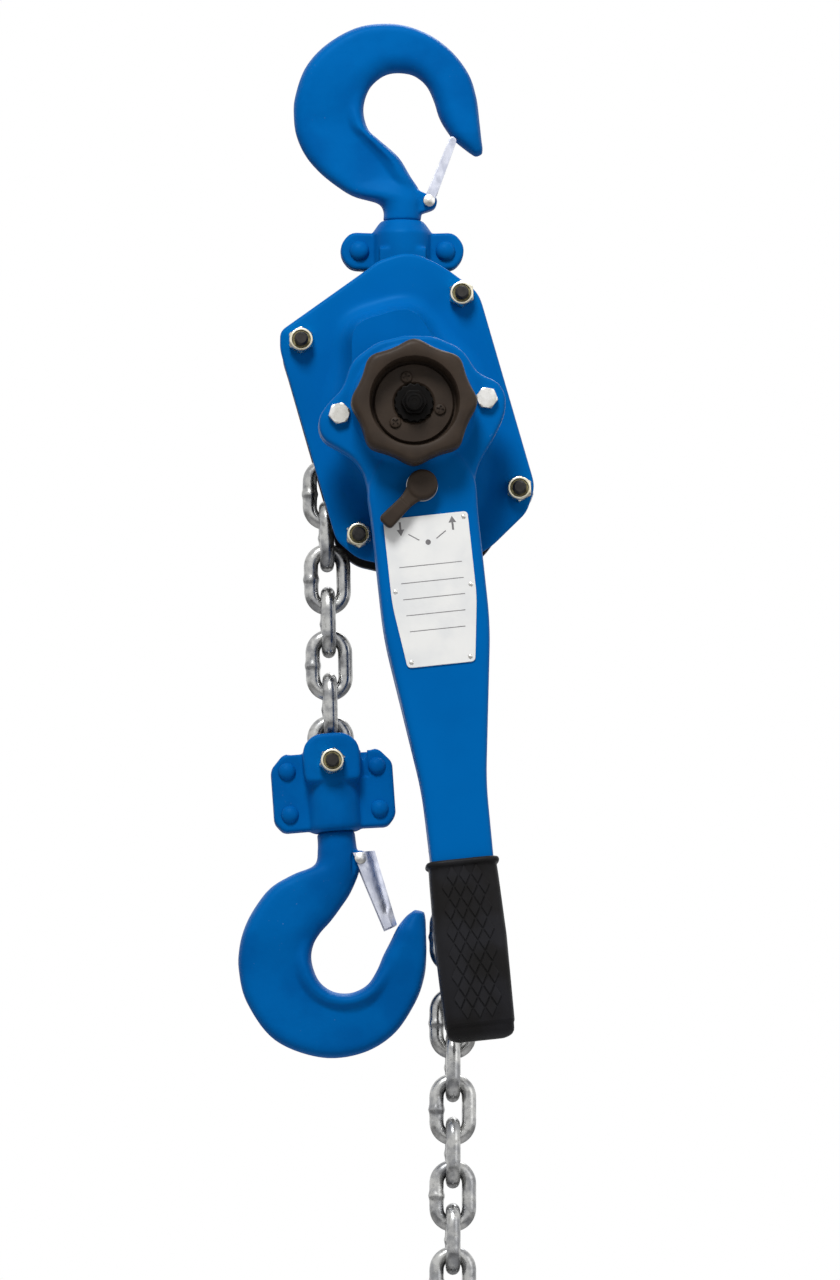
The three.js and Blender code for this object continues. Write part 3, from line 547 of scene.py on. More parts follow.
@dataclass(frozen=True)
class Finish:
    """A surface finish: two tones that drift into each other, a band of roughness and two scales of relief.

    Sizes are in millimetres. Streaks stretch the relief along Z, dust is the share of pale specks, and
    stain darkens patches such as heat marks and oil.
    """

    name: str
    tone: tuple[float, float, float, float]
    drift: tuple[float, float, float, float]
    patch: float = 18.0
    rough: tuple[float, float] = (0.35, 0.45)
    metal: float = 0.0
    coat: float = 0.0
    grain: float = 1.2
    grain_depth: float = 0.02
    swell: float = 9.0
    swell_depth: float = 0.1
    streak: float = 1.0
    dust: float = 0.0
    stain: float = 0.0
    gloss: float = 0.5
    gloss_tone: tuple[float, float, float, float] = (1.0, 1.0, 1.0, 1.0)
    stain_tone: tuple[float, float, float, float] = (0.05, 0.045, 0.04, 1.0)

    def material(self) -> bpy.types.Material:
        """The finish as a material, made once."""
        known = bpy.data.materials.get(self.name)
        if known:
            return known
        made = bpy.data.materials.new(self.name)
        made.use_nodes = True
        made.node_tree.nodes.clear()
        g = Graph(made.node_tree)
        spot = g.node("ShaderNodeTexCoord", output="Object")
        where = spot
        if self.streak != 1:
            where = g.node("ShaderNodeMapping", {}, {"Vector": spot, "Scale": (1, 1, 1 / self.streak)})
        drift = g.noise(spot, self.patch, 3.0).ramp(0.36, 0.66)
        colour = g.blend(drift, self.tone, self.drift)
        fine = g.noise(where, self.grain, 3.0, 0.6)
        broad = g.noise(where, self.swell, 2.0)
        uneven = g.noise(where, self.patch * 0.4, 4.0, 0.65).ramp(0.3, 0.7)
        rough = self.rough[0] + (self.rough[1] - self.rough[0]) * uneven
        if self.dust:
            speck = g.noise(spot, 1.6, 2.0).ramp(0.7, 0.78) * g.noise(spot, 22.0, 2.0).ramp(0.5, 0.72)
            colour = g.blend(speck * self.dust, colour, (0.8, 0.82, 0.85, 1.0))
            rough = rough + speck * 0.2
        if self.stain:
            dark = g.noise(spot, self.patch * 0.55, 5.0, 0.7).ramp(0.5, 0.74) * self.stain
            colour = g.blend(dark, colour, self.stain_tone)
            rough = rough + dark * 0.25
        relief = fine * self.grain_depth + broad * self.swell_depth
        bump = g.node("ShaderNodeBump", {}, {"Height": relief, "Distance": MM, "Strength": 1.0})
        shader = g.node(
            "ShaderNodeBsdfPrincipled",
            {},
            {
                "Base Color": colour, "Roughness": rough, "Metallic": self.metal, "Coat Weight": self.coat,
                "Specular IOR Level": self.gloss, "Specular Tint": self.gloss_tone, "Normal": bump,
            },
        )
        g.node("ShaderNodeOutputMaterial", {}, {"Surface": shader})
        return made


BLUE_SHEEN = (0.1, 0.5, 1.0, 1.0)


class Finishes(Enum):
    """The finishes of the hoist."""

    FORGED_PAINT = Finish(
        "blue_enamel_on_forging", linear(0, 97, 171), linear(0, 88, 160), patch=30, rough=(0.4, 0.52),
        grain=1.1, grain_depth=0.03, swell=6.0, swell_depth=0.2, dust=0.12, gloss=0.12,
        gloss_tone=BLUE_SHEEN,
    )
    PRESSED_PAINT = Finish(
        "blue_enamel_on_sheet", linear(0, 99, 174), linear(0, 94, 167), patch=60, rough=(0.34, 0.42),
        grain=1.6, grain_depth=0.008, swell=14.0, swell_depth=0.12, dust=0.05, gloss=0.1,
        gloss_tone=BLUE_SHEEN,
    )
    # near black: the side plates' colour paints the shade band under the housing
    BLACK_STEEL = Finish(
        "blackened_steel", linear(34, 32, 31), linear(20, 19, 19), patch=12, rough=(0.4, 0.6), metal=0.2,
        grain=0.8, grain_depth=0.02, swell=5, swell_depth=0.04, gloss=0.3,
    )
    STUD = Finish(
        "oiled_black_thread", linear(40, 37, 35), linear(24, 22, 21), patch=3, rough=(0.35, 0.5), metal=0.2,
        grain=0.5, grain_depth=0.02, swell=3, swell_depth=0.03, gloss=0.4,
    )
    INSERT = Finish(
        "nut_insert", linear(150, 141, 102), linear(112, 104, 72), patch=2, rough=(0.45, 0.6), grain=0.5,
        grain_depth=0.02, swell=3, swell_depth=0.02, gloss=0.3,
    )
    NUT = Finish(
        "yellow_zinc_plating", linear(226, 221, 202), linear(210, 202, 176), patch=5, rough=(0.22, 0.34),
        metal=1.0, grain=0.5, grain_depth=0.008, swell=3, swell_depth=0.02, stain=0.1,
    )
    BOLT = Finish(
        "bright_zinc", linear(222, 221, 218), linear(200, 198, 192), patch=6, rough=(0.25, 0.4), metal=1.0,
        grain=0.5, grain_depth=0.01, swell=3, swell_depth=0.03,
    )
    LATCH = Finish(
        "zinc_sheet", linear(214, 217, 229), linear(186, 190, 205), patch=7, rough=(0.24, 0.4), metal=1.0,
        grain=0.5, grain_depth=0.012, swell=4, swell_depth=0.04, streak=6.0,
    )
    CHAIN = Finish(
        "bright_chain", linear(186, 186, 184), linear(140, 141, 143), patch=7, rough=(0.2, 0.38), metal=1.0,
        grain=0.7, grain_depth=0.02, swell=4, swell_depth=0.08, stain=0.45,
    )
    MACHINED = Finish(
        "turned_steel", linear(170, 170, 170), linear(150, 150, 150), patch=10, rough=(0.3, 0.45), metal=1.0,
        grain=0.5, grain_depth=0.015, swell=4, swell_depth=0.03,
    )
    WHEEL = Finish(
        "wheel_black_brown", linear(56, 46, 38), linear(49, 40, 33), patch=14, rough=(0.42, 0.56), grain=0.6,
        grain_depth=0.03, swell=6, swell_depth=0.05, dust=0.06, gloss=0.15,
    )
    SPLINE = Finish(
        "dark_oiled_steel", linear(10, 8, 7), linear(5, 4, 4), patch=4, rough=(0.35, 0.5), grain=0.5,
        grain_depth=0.02, swell=3, swell_depth=0.03, gloss=0.08,
    )
    RUBBER = Finish(
        "moulded_grip", linear(36, 36, 39), linear(27, 26, 26), patch=22, rough=(0.42, 0.58), grain=0.5,
        grain_depth=0.03, swell=5, swell_depth=0.05, dust=0.03, gloss=0.08,
    )
    PLATE = Finish(
        "name_plate_sheet", linear(236, 236, 234), linear(226, 227, 227), patch=20, rough=(0.3, 0.42),
        coat=0.1, grain=0.6, grain_depth=0.004, swell=9, swell_depth=0.02,
    )
    INK = Finish(
        "grey_ink", linear(120, 118, 120), linear(104, 102, 104), patch=4, rough=(0.4, 0.5), grain=0.5,
        grain_depth=0.002, swell=4, swell_depth=0.002,
    )
    LINING = Finish(
        "friction_lining", linear(70, 58, 50), linear(58, 48, 42), patch=6, rough=(0.7, 0.85), grain=0.6,
        grain_depth=0.06, swell=4, swell_depth=0.04,
    )

    def on(self, made: bpy.types.Object, sharp: float = 30.0) -> bpy.types.Object:
        """Dresses a piece in this finish, smooth but for edges over an angle."""
        made.data.materials.clear()
        made.data.materials.append(self.value.material())
        made.data.polygons.foreach_set("use_smooth", [True] * len(made.data.polygons))
        made.data.set_sharp_from_angle(angle=math.radians(sharp))
        return made

    def over(self, made: bpy.types.Object) -> None:
        """Dresses a node of the frame in this finish."""
        if not made.material_slots:
            made.data.materials.append(self.value.material())
        for one in made.material_slots:
            one.material = self.value.material()


def hand_over(made: bpy.types.Object, body: str, slot: str, *nodes: str) -> bpy.types.Object:
    """Gives a finished piece to its body and hides the nodes that it stands for."""
    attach(made, body)
    if nodes:
        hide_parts(*nodes)
    LOG.info("%s: %d faces on %s", made.name, len(made.data.polygons), body)
    return made


# ---------------------------------------------------------------- repeated pieces
@dataclass(frozen=True)
class Spot:
    """Where one copy of a repeated piece goes: a point and its turns about X, Y and Z."""

    at: tuple[float, float, float]
    turn: tuple[float, float, float] = (0.0, 0.0, 0.0)


def spots_object(name: str, place: Place, spots: Sequence[Spot]) -> bpy.types.Object:
    """Loose points that carry the turn of each copy, in the row frame."""
    mesh = bpy.data.meshes.new(name)
    mesh.from_pydata([tuple(place.point(s.at[0], s.at[2], s.at[1])) for s in spots], [], [])
    turns = mesh.attributes.new("turn", "FLOAT_VECTOR", "POINT")
    frame_turn = Matrix.Rotation(math.radians(-place.turn), 3, "Y")
    flat: list[float] = []
    for s in spots:
        own = (
            Matrix.Rotation(math.radians(s.turn[2]), 3, "Z")
            @ Matrix.Rotation(math.radians(-s.turn[1]), 3, "Y")
            @ Matrix.Rotation(math.radians(s.turn[0]), 3, "X")
        )
        flat += list((frame_turn @ own).to_euler())
    turns.data.foreach_set("vector", flat)
    made = bpy.data.objects.new(name, mesh)
    bpy.context.scene.collection.objects.link(made)
    return made


class NodesTree:
    """A geometry node tree with named inputs."""

    def __init__(self, name: str, inputs: dict[str, str]) -> None:
        """Makes the tree and its interface.

        Args:
            name: the tree's name.
            inputs: each input's name and socket type, after the geometry.
        """
        self.tree = bpy.data.node_groups.new(name, "GeometryNodeTree")
        self.tree.interface.new_socket(name="Geometry", in_out="INPUT", socket_type="NodeSocketGeometry")
        self.keys = {
            key: self.tree.interface.new_socket(name=key, in_out="INPUT", socket_type=kind).identifier
            for key, kind in inputs.items()
        }
        self.tree.interface.new_socket(name="Geometry", in_out="OUTPUT", socket_type="NodeSocketGeometry")
        self.graph = Graph(self.tree)
        self.entry = self.tree.nodes.new("NodeGroupInput")

    def given(self, key: str) -> Signal:
        """The signal of a named input."""
        return Signal(self.graph, self.entry.outputs[key])

    def copies(self, instance: Signal) -> None:
        """Ends the tree: a copy of the instance at each point, made real and given its material."""
        g = self.graph
        turn = g.node("GeometryNodeInputNamedAttribute", {"data_type": "FLOAT_VECTOR"}, {"Name": "turn"})
        placed = g.node(
            "GeometryNodeInstanceOnPoints", {},
            {"Points": self.given("Geometry"), "Instance": instance, "Rotation": turn}
        )
        real = g.node("GeometryNodeRealizeInstances", {}, {"Geometry": placed})
        dressed = g.node(
            "GeometryNodeSetMaterial", {}, {"Geometry": real, "Material": self.given("Material")},
        )
        g.node("NodeGroupOutput", {}, {0: dressed})

    def run(self, made: bpy.types.Object, values: dict[str, object]) -> bpy.types.Object:
        """Runs the tree on an object and keeps the result as its plain mesh."""
        step = made.modifiers.new("nodes", "NODES")
        step.node_group = self.tree
        for key, value in values.items():
            step[self.keys[key]] = value
        bpy.context.view_layer.update()
        Bench.settle(made)
        for layer in [a.name for a in made.data.attributes if a.name == "turn"]:
            made.data.attributes.remove(made.data.attributes[layer])
        return made


class CopyTree(NodesTree):
    """Copies of one piece, such as nuts, rivets, screws or moulded diamonds."""

    def __init__(self) -> None:
        """Builds the tree."""
        super().__init__("copies_at_points", {"Piece": "NodeSocketObject", "Material": "NodeSocketMaterial"})
        piece = self.given("Piece")
        self.copies(self.graph.node("GeometryNodeObjectInfo", {}, {"Object": piece}, "Geometry"))

    def repeat(
        self, name: str, place: Place, solids: Sequence[Solid], spots: Sequence[Spot], finish: Finishes,
    ) -> bpy.types.Object:
        """One object of copies of joined solids.

        Args:
            name: the piece's name.
            place: the working frame of the spots.
            solids: the piece, about its own origin.
            spots: where the copies go.
            finish: their finish.

        Returns:
            The plain mesh object.
        """
        piece = Bench.shape(name + "_one", Place(), solids)
        made = self.run(
            spots_object(name, place, spots), {"Piece": piece, "Material": finish.value.material()},
        )
        data = piece.data
        bpy.data.objects.remove(piece)
        bpy.data.meshes.remove(data)
        return finish.on(made)


class LinkTree(NodesTree):
    """Chain links along a run: a welded round bar, bent to a link."""

    corner_points: int = 10
    bend_points: int = 84
    bar_sides: int = 16
    weld_sharpness: float = 20.0
    full_round: float = 0.4999

    def __init__(self) -> None:
        """Builds the tree."""
        super().__init__(
            "chain_links",
            {
                "Wire": "NodeSocketFloat",
                "Pitch": "NodeSocketFloat",
                "Inner Width": "NodeSocketFloat",
                "Weld": "NodeSocketFloat",
                "Material": "NodeSocketMaterial",
            },
        )
        g = self.graph
        wire, pitch, inner = self.given("Wire"), self.given("Pitch"), self.given("Inner Width")
        path = g.node(
            "GeometryNodeCurvePrimitiveQuadrilateral", {}, {"Width": pitch + wire, "Height": inner + wire},
        )
        bent = g.node(
            "GeometryNodeFilletCurve", {"mode": "POLY"},
            {"Curve": path, "Count": self.corner_points, "Radius": (inner + wire) * self.full_round}
        )
        even = g.node("GeometryNodeResampleCurve", {}, {"Curve": bent, "Count": self.bend_points})
        spot = g.node("GeometryNodeInputPosition")
        x = g.node("ShaderNodeSeparateXYZ", {}, {0: spot}, 0)
        y = g.node("ShaderNodeSeparateXYZ", {}, {0: spot}, 1)
        away = (x / wire) ** 2.0 * self.weld_sharpness
        fading = g.node("ShaderNodeMath", {"operation": "EXPONENT"}, {0: away * -1.0})
        swelling = 1.0 + self.given("Weld") * fading * y.above(0.0)
        ring = g.node(
            "GeometryNodeCurvePrimitiveCircle", {}, {"Resolution": self.bar_sides, "Radius": wire * 0.5},
        )
        bar = g.node("GeometryNodeCurveToMesh", {}, {"Curve": even, "Profile Curve": ring, "Scale": swelling})
        self.copies(bar)


class Tools:
    """The geometry node trees that several sub-assemblies share."""

    def __init__(self) -> None:
        """Builds each tree once."""
        self.copies = CopyTree()
        self.links = LinkTree()


# ---------------------------------------------------------------- layout
@dataclass(frozen=True)
class Layout:
    """The working frames of the hoist, from the joints of its record."""

    body_turn: float = 16.4
    lever_turn: float = 6.2
    block_turn: float = 4.0
    run_turn: float = 1.2
    joints: dict[str, tuple[float, float]] = field(default_factory=dict)

    @staticmethod
    def of(frame: dict) -> Layout:
        """Reads where each hinge is."""
        at = {j["name"]: (j["pos_m"][0] / MM, j["pos_m"][2] / MM) for j in frame["joints"] if "pos_m" in j}
        return Layout(joints=at)

    @property
    def hub(self) -> Place:
        """The drive axis, upright."""
        return Place(*self.joints["lever_swing"])

    @property
    def body(self) -> Place:
        """The drive axis, turned with the housing."""
        return Place(*self.joints["lever_swing"], self.body_turn)

    @property
    def lever(self) -> Place:
        """The drive axis, turned with the lever."""
        return Place(*self.joints["lever_swing"], self.lever_turn)

    @property
    def top(self) -> Place:
        """The swivel of the top hook."""
        return Place(*self.joints["top_hook_swivel"])

    @property
    def block(self) -> Place:
        """The chain pin of the bottom block."""
        return Place(*self.joints["bottom_block_swing"], self.block_turn)


# ---------------------------------------------------------------- hooks
class End(Enum):
    """The two ends of the hoist, with the prefix of their nodes."""

    TOP = "top"
    BOTTOM = "bottom"


@dataclass
class Hook:
    """A forged swivel hook with its sprung latch.

    stations run from the neck to the point, each (inner x, inner z, outer x, outer z). groove, neck_end
    and point_start are shares of that way: where the web sinks and rises again, where the neck's round
    section has gone, and where the point begins to taper.
    """

    end: End
    place: Place
    stations: Sequence[tuple[float, float, float, float]]
    pivot: tuple[float, float]
    tip: tuple[float, float]
    shank: tuple[float, float]
    swing: float
    groove: tuple[float, float, float, float]
    rings: int = 130
    side: int = 19
    bead: float = 5.4
    web: float = 0.62
    full: float = 0.93
    thickest: float = 10.5
    neck_end: tuple[float, float] = (0.04, 0.26)
    point_start: tuple[float, float] = (0.74, 0.97)
    neck_r: float = 8.8
    lug: float = 6.0
    lug_r: float = 4.7
    latch_half: float = 2.9
    room: float = 5.4
    latch_inside: float = 6.3
    sheet: float = 1.5
    pin_r: float = 2.2

    def _bar(self) -> Solid:
        """The bar: round at the neck, then beaded along its inner edge, tapering to the point."""
        line = catmull(np.array(self.stations, float), self.rings)
        made = []
        for i, (px, pz, qx, qz) in enumerate(line):
            t = i / (self.rings - 1)
            width = math.hypot(qx - px, qz - pz)
            share = smoothstep(t, *self.neck_end) - 0.75 * smoothstep(t, *self.point_start)
            half = min(self.thickest, 3.2 + 0.42 * width)
            if t > self.point_start[1]:
                past = (t - self.point_start[1]) / (1 - self.point_start[1])
                half *= math.sqrt(max(0.1, 1 - past**2 * 0.8))
            b = min(0.5, self.bead / width)
            deep = smoothstep(t, *self.groove[:2]) * (1 - smoothstep(t, *self.groove[2:]))
            flat = self.full + (self.web - self.full) * deep
            crest, soft = 0.6 + 0.4 * deep, 0.38 - 0.21 * deep
            loop = []
            for k in range(self.side):
                u = (1 - math.cos(math.pi * (k + 0.5) / self.side)) / 2
                round_ = 2 * math.sqrt(u * (1 - u))
                bead = crest * math.sqrt(max(0.0, 1 - ((u - b) / b) ** 2))
                edge = max(0.0, (u - 0.8) / 0.2)
                web = flat * math.sqrt(max(0.02, 1 - edge**3)) * math.sqrt(1 - (1 - min(1.0, u / soft)) ** 2)
                ridge = (bead**12 + web**12) ** (1 / 12)
                y = half * (round_ * (1 - share) + ridge * share)
                loop.append((px + (qx - px) * u, y, pz + (qz - pz) * u))
            made.append(np.array([*loop, *[(x, -y, z) for x, y, z in reversed(loop)]]))
        return Solid.loft(made)

    def _at_latch(self, open_: float = 0.0) -> Matrix:
        """The working frame of the latch, from its pivot along its length, swung in by open_ degrees."""
        angle = math.degrees(math.atan2(self.tip[1] - self.pivot[1], self.tip[0] - self.pivot[0])) + open_
        at = Matrix.Translation((self.pivot[0], 0, self.pivot[1]))
        return at @ Matrix.Rotation(math.radians(-angle), 4, "Y")

    def _strip(self, length: float) -> list[Solid]:
        """The narrow latch: two cheeks with round ends and a web behind the lug."""
        half, outside = self.latch_half, self.latch_inside + self.sheet
        cheek = [*arc(0, 0, half, 90, 270, 14), *arc(length, -0.4, 2.1, -90, 90, 12)]
        web = [
            (self.lug_r + 1.6, -half), (length, -2.5), (length, -1.1), (self.lug_r + 1.6, -half + self.sheet),
        ]
        return [
            Solid.plate(cheek, -outside, -self.latch_inside, 0.3, 2),
            Solid.plate(cheek, self.latch_inside, outside, 0.3, 2),
            Solid.plate(web, -outside, outside),
        ]

    def _channel(self, length: float) -> list[Solid]:
        """The broad latch: a channel with a flat top and slanted flanks, open towards the throat."""
        out, inside = self.latch_inside + self.sheet, self.latch_inside
        rings = []
        for t in np.linspace(0, 1, 9):
            left, right = -2.6 - 0.8 * t, 9.2 - 5.2 * t
            start, end = -4.4 + (length + 4.6) * t, -0.9 + (length + 1.1) * t
            fold, brow = left + (right - left) * 0.56, out - 3.2
            ring = [
                (left, -out), (fold, -out), (right, -brow), (right, brow), (fold, out), (left, out),
                (left, inside),
                (fold - 0.4, inside), (right - 1.5, brow - 0.8), (right - 1.5, 0.8 - brow),
                (fold - 0.4, -inside),
                (left, -inside),
            ]
            slant = (end - start) / (right - left)
            rings.append(np.array([(start + slant * (w - left), y, w) for w, y in ring]))
        return [Solid.loft(rings)]

    def _latch(self) -> bpy.types.Object:
        """The folded latch of this hook."""
        length = math.hypot(self.tip[0] - self.pivot[0], self.tip[1] - self.pivot[1])
        solids = self._strip(length + 0.6) if self.swing > 0 else self._channel(length + 1.6)
        hole = Solid.rod(self.pin_r + 0.3, -12, 12, sides=24)
        at = self._at_latch()
        return Bench.shape(
            f"{self.end.value}_hook_latch", self.place, [s.moved(at) for s in solids], [hole.moved(at)]
        )

    def _pin(self) -> Solid:
        """The riveted latch pin with a domed head at both ends."""
        r, x, z = self.pin_r, *self.pivot
        head = [(AXIS, -9.9), (r * 0.7, -9.8), (r + 0.9, -9.2), (r + 1.2, -8.5), (r + 1.2, -8.1), (r, -8.1)]
        section = [*head, *[(a, -y) for a, y in reversed(head)]]
        return Solid.turned(section, 28).shifted(x, 0, z)

    def build(self) -> list[bpy.types.Object]:
        """Makes the hook, its latch and the latch pin."""
        x, z = self.pivot
        foot = [*arc(x, z, self.lug_r, -70, 110, 14), (x - 9, z + 8), (x - 9, z - 8)]
        neck = Solid.plate(circle(self.neck_r, sides=40), *self.shank, 0.6, 2).moved(UPRIGHT)
        room = [*arc(0, 0, self.room, 90, 270, 12), (22, -4.2), (22, 4.2)]
        slots = [
            Solid.plate(room, *sorted((s * self.lug, s * 14))).moved(self._at_latch(self.swing))
            for s in (-1, 1)
        ]
        bar = Bench.shape(
            f"{self.end.value}_hook_forging", self.place,
            [self._bar(), Solid.plate(foot, -self.lug, self.lug, 1.0, 3), neck], slots, FORGED,
        )
        return [bar, self._latch(), self._pin().object(f"{self.end.value}_hook_latch_rivet", self.place)]

    def dress(self) -> None:
        """Builds the pieces and gives each its finish and body."""
        bar, latch, pin = self.build()
        own = self.end.value
        hand_over(Finishes.FORGED_PAINT.on(bar, 60), f"{own}_hook", "blue_paint", f"{own}_hook")
        hand_over(Finishes.LATCH.on(latch, 40), f"{own}_latch", "zinc_steel", f"{own}_latch")
        hand_over(Finishes.BOLT.on(pin), f"{own}_hook", "zinc_steel", f"{own}_latch_pin")


TOP_STATIONS = [
    (10.5, 16.4, -10.5, 16.4), (11, 22, -10.5, 22), (11, 29, -14, 26.5), (9, 35, -27, 30.2),
    (5, 41, -36, 35.5), (-1, 51, -46, 43.5), (-7, 57, -54, 53), (-13, 62, -59, 64), (-19, 68, -60.5, 75),
    (-21.5, 79, -59.8, 86), (-18.5, 90, -54, 102.5), (-12, 96.8, -42, 115.8), (-5, 99.5, -24, 125.5),
    (4, 99, -4, 127.2), (10, 96, 13, 122.3), (14.5, 91, 27, 112.5), (18, 83, 37, 99.5), (20.5, 75, 41.5, 86),
    (24, 68.5, 43.3, 72), (29, 62, 44.4, 62), (35.5, 56.5, 45, 57.5), (41, 52.6, 44.8, 54.2),
]
LOW_STATIONS = [
    (10.5, -38.6, -10.5, -38.6), (11, -47, -10.8, -47), (12.2, -58, -13.3, -55.5), (6.6, -71, -25.6, -60),
    (0, -80, -38.3, -66.5), (-6.4, -87.5, -47.9, -77), (-12.4, -93.4, -54.2, -87.4),
    (-16.8, -100, -57.9, -98.2),
    (-18.4, -108.5, -59.2, -111), (-15.7, -119, -55.9, -129.5), (-9.8, -125.4, -42, -151.2),
    (-2.4, -127.9, -17.5, -162.6), (4.9, -127.3, 5.4, -162), (12.2, -123.4, 24.1, -152.6),
    (17.8, -115.6, 37.3, -136), (21.4, -108.4, 43.4, -122), (25.8, -101.1, 45.5, -109.5),
    (30.3, -93.4, 46.1, -98.2), (35.6, -87.4, 46.4, -90.2), (40.8, -84, 45.9, -85.6),
]


# ---------------------------------------------------------------- yokes
HALVES = (("front", -1), ("rear", 1))
YOKE_PIN_BORE = 5.3


def half_cut(gap: float, s: int) -> Solid:
    """The cut that leaves one half of a yoke: the front half at s = -1, the rear half at s = 1."""
    return Solid.box(-FAR, FAR, *((-gap / 2, FAR) if s < 0 else (-FAR, gap / 2)), -FAR, FAR)


def dome_section(r: float, base: float, rise: float) -> list[tuple[float, float]]:
    """The section of a round rivet head that stands towards -Y from y = base."""
    dome = [(r * math.sin(a), base - rise * math.cos(a)) for a in np.radians(range(12, 91, 13))]
    return [(AXIS, base - rise), *dome, (r, base + 0.6), (AXIS, base + 0.6)]


@dataclass
class TopYoke:
    """The riveted yoke that joins the top hook to the housing."""

    place: Place
    tools: Tools
    drop: float
    lobe: float = 6.0
    barrel: float = 17.0
    half: float = 16.6
    cheek: float = 13.0
    gap: float = 0.3
    rivet_x: float = 24.0
    rivet_z: float = -1.0
    rivet_r: float = 5.5

    def build(self) -> list[bpy.types.Object]:
        """Makes the two halves and the rivets."""
        lobes = rounded(mirrored([
            (15, 9, 3), (29, 9.5, 4), (34.5, 2.5, 5), (34, -5, 4), (29, -11.3, 4), (14, -12, 3),
            (13, self.drop, 0),
            *[(x, z, 0) for x, z in arc(0, self.drop, self.cheek, -12, -78, 6)],
        ]))
        jaw = [
            (13, self.drop), (13, 0), (-13, 0), (-13, self.drop),
            *arc(0, self.drop, self.cheek, 180, 360, 24)[1:-1],
        ]
        collar = [
            (AXIS, -11), (self.barrel, -11), (self.barrel, 8.6), (16.2, 10.2), (13.2, 14.5), (11.9, 15.8),
            (11.2, 16.2),
            (AXIS, 16.2),
        ]
        seat = [(AXIS, -7.5), (14, -7.5), (14, 4.5), (9.2, 4.5), (9.2, 20), (AXIS, 20)]
        made = []
        for side, s in HALVES:
            solids = [
                Solid.plate(lobes, -self.lobe, self.lobe, 1.6, 3),
                Solid.turned(collar, 56).moved(UPRIGHT),
                Solid.plate(jaw, -self.half + 1, self.half - 1, 1.0, 3),
            ]
            cuts = [
                half_cut(self.gap, s),
                Solid.turned(seat, 40).moved(UPRIGHT),
                Solid.rod(YOKE_PIN_BORE, -20, 20, 0, self.drop),
            ]
            made.append(Bench.shape(f"yoke_half_{side}", self.place, solids, cuts, CAST))
        spots = [
            Spot((x, s * (-self.lobe - 0.2), self.rivet_z), (0 if s > 0 else 180, 0, 0))
            for s in (1, -1) for x in (-self.rivet_x, self.rivet_x)
        ]
        head = Solid.turned(dome_section(self.rivet_r, 0, 3.8), 32)
        made.append(self.tools.copies.repeat("yoke_rivets", self.place, [head], spots, Finishes.FORGED_PAINT))
        return made

    def dress(self) -> None:
        """Builds the pieces and gives each its finish and body."""
        front, rear, rivets = self.build()
        hand_over(Finishes.FORGED_PAINT.on(front, 60), "yoke", "blue_paint", "top_yoke_front")
        hand_over(Finishes.FORGED_PAINT.on(rear, 60), "yoke", "blue_paint", "top_yoke_rear")
        hand_over(rivets, "yoke", "blue_paint", "top_rivet_left", "top_rivet_right")


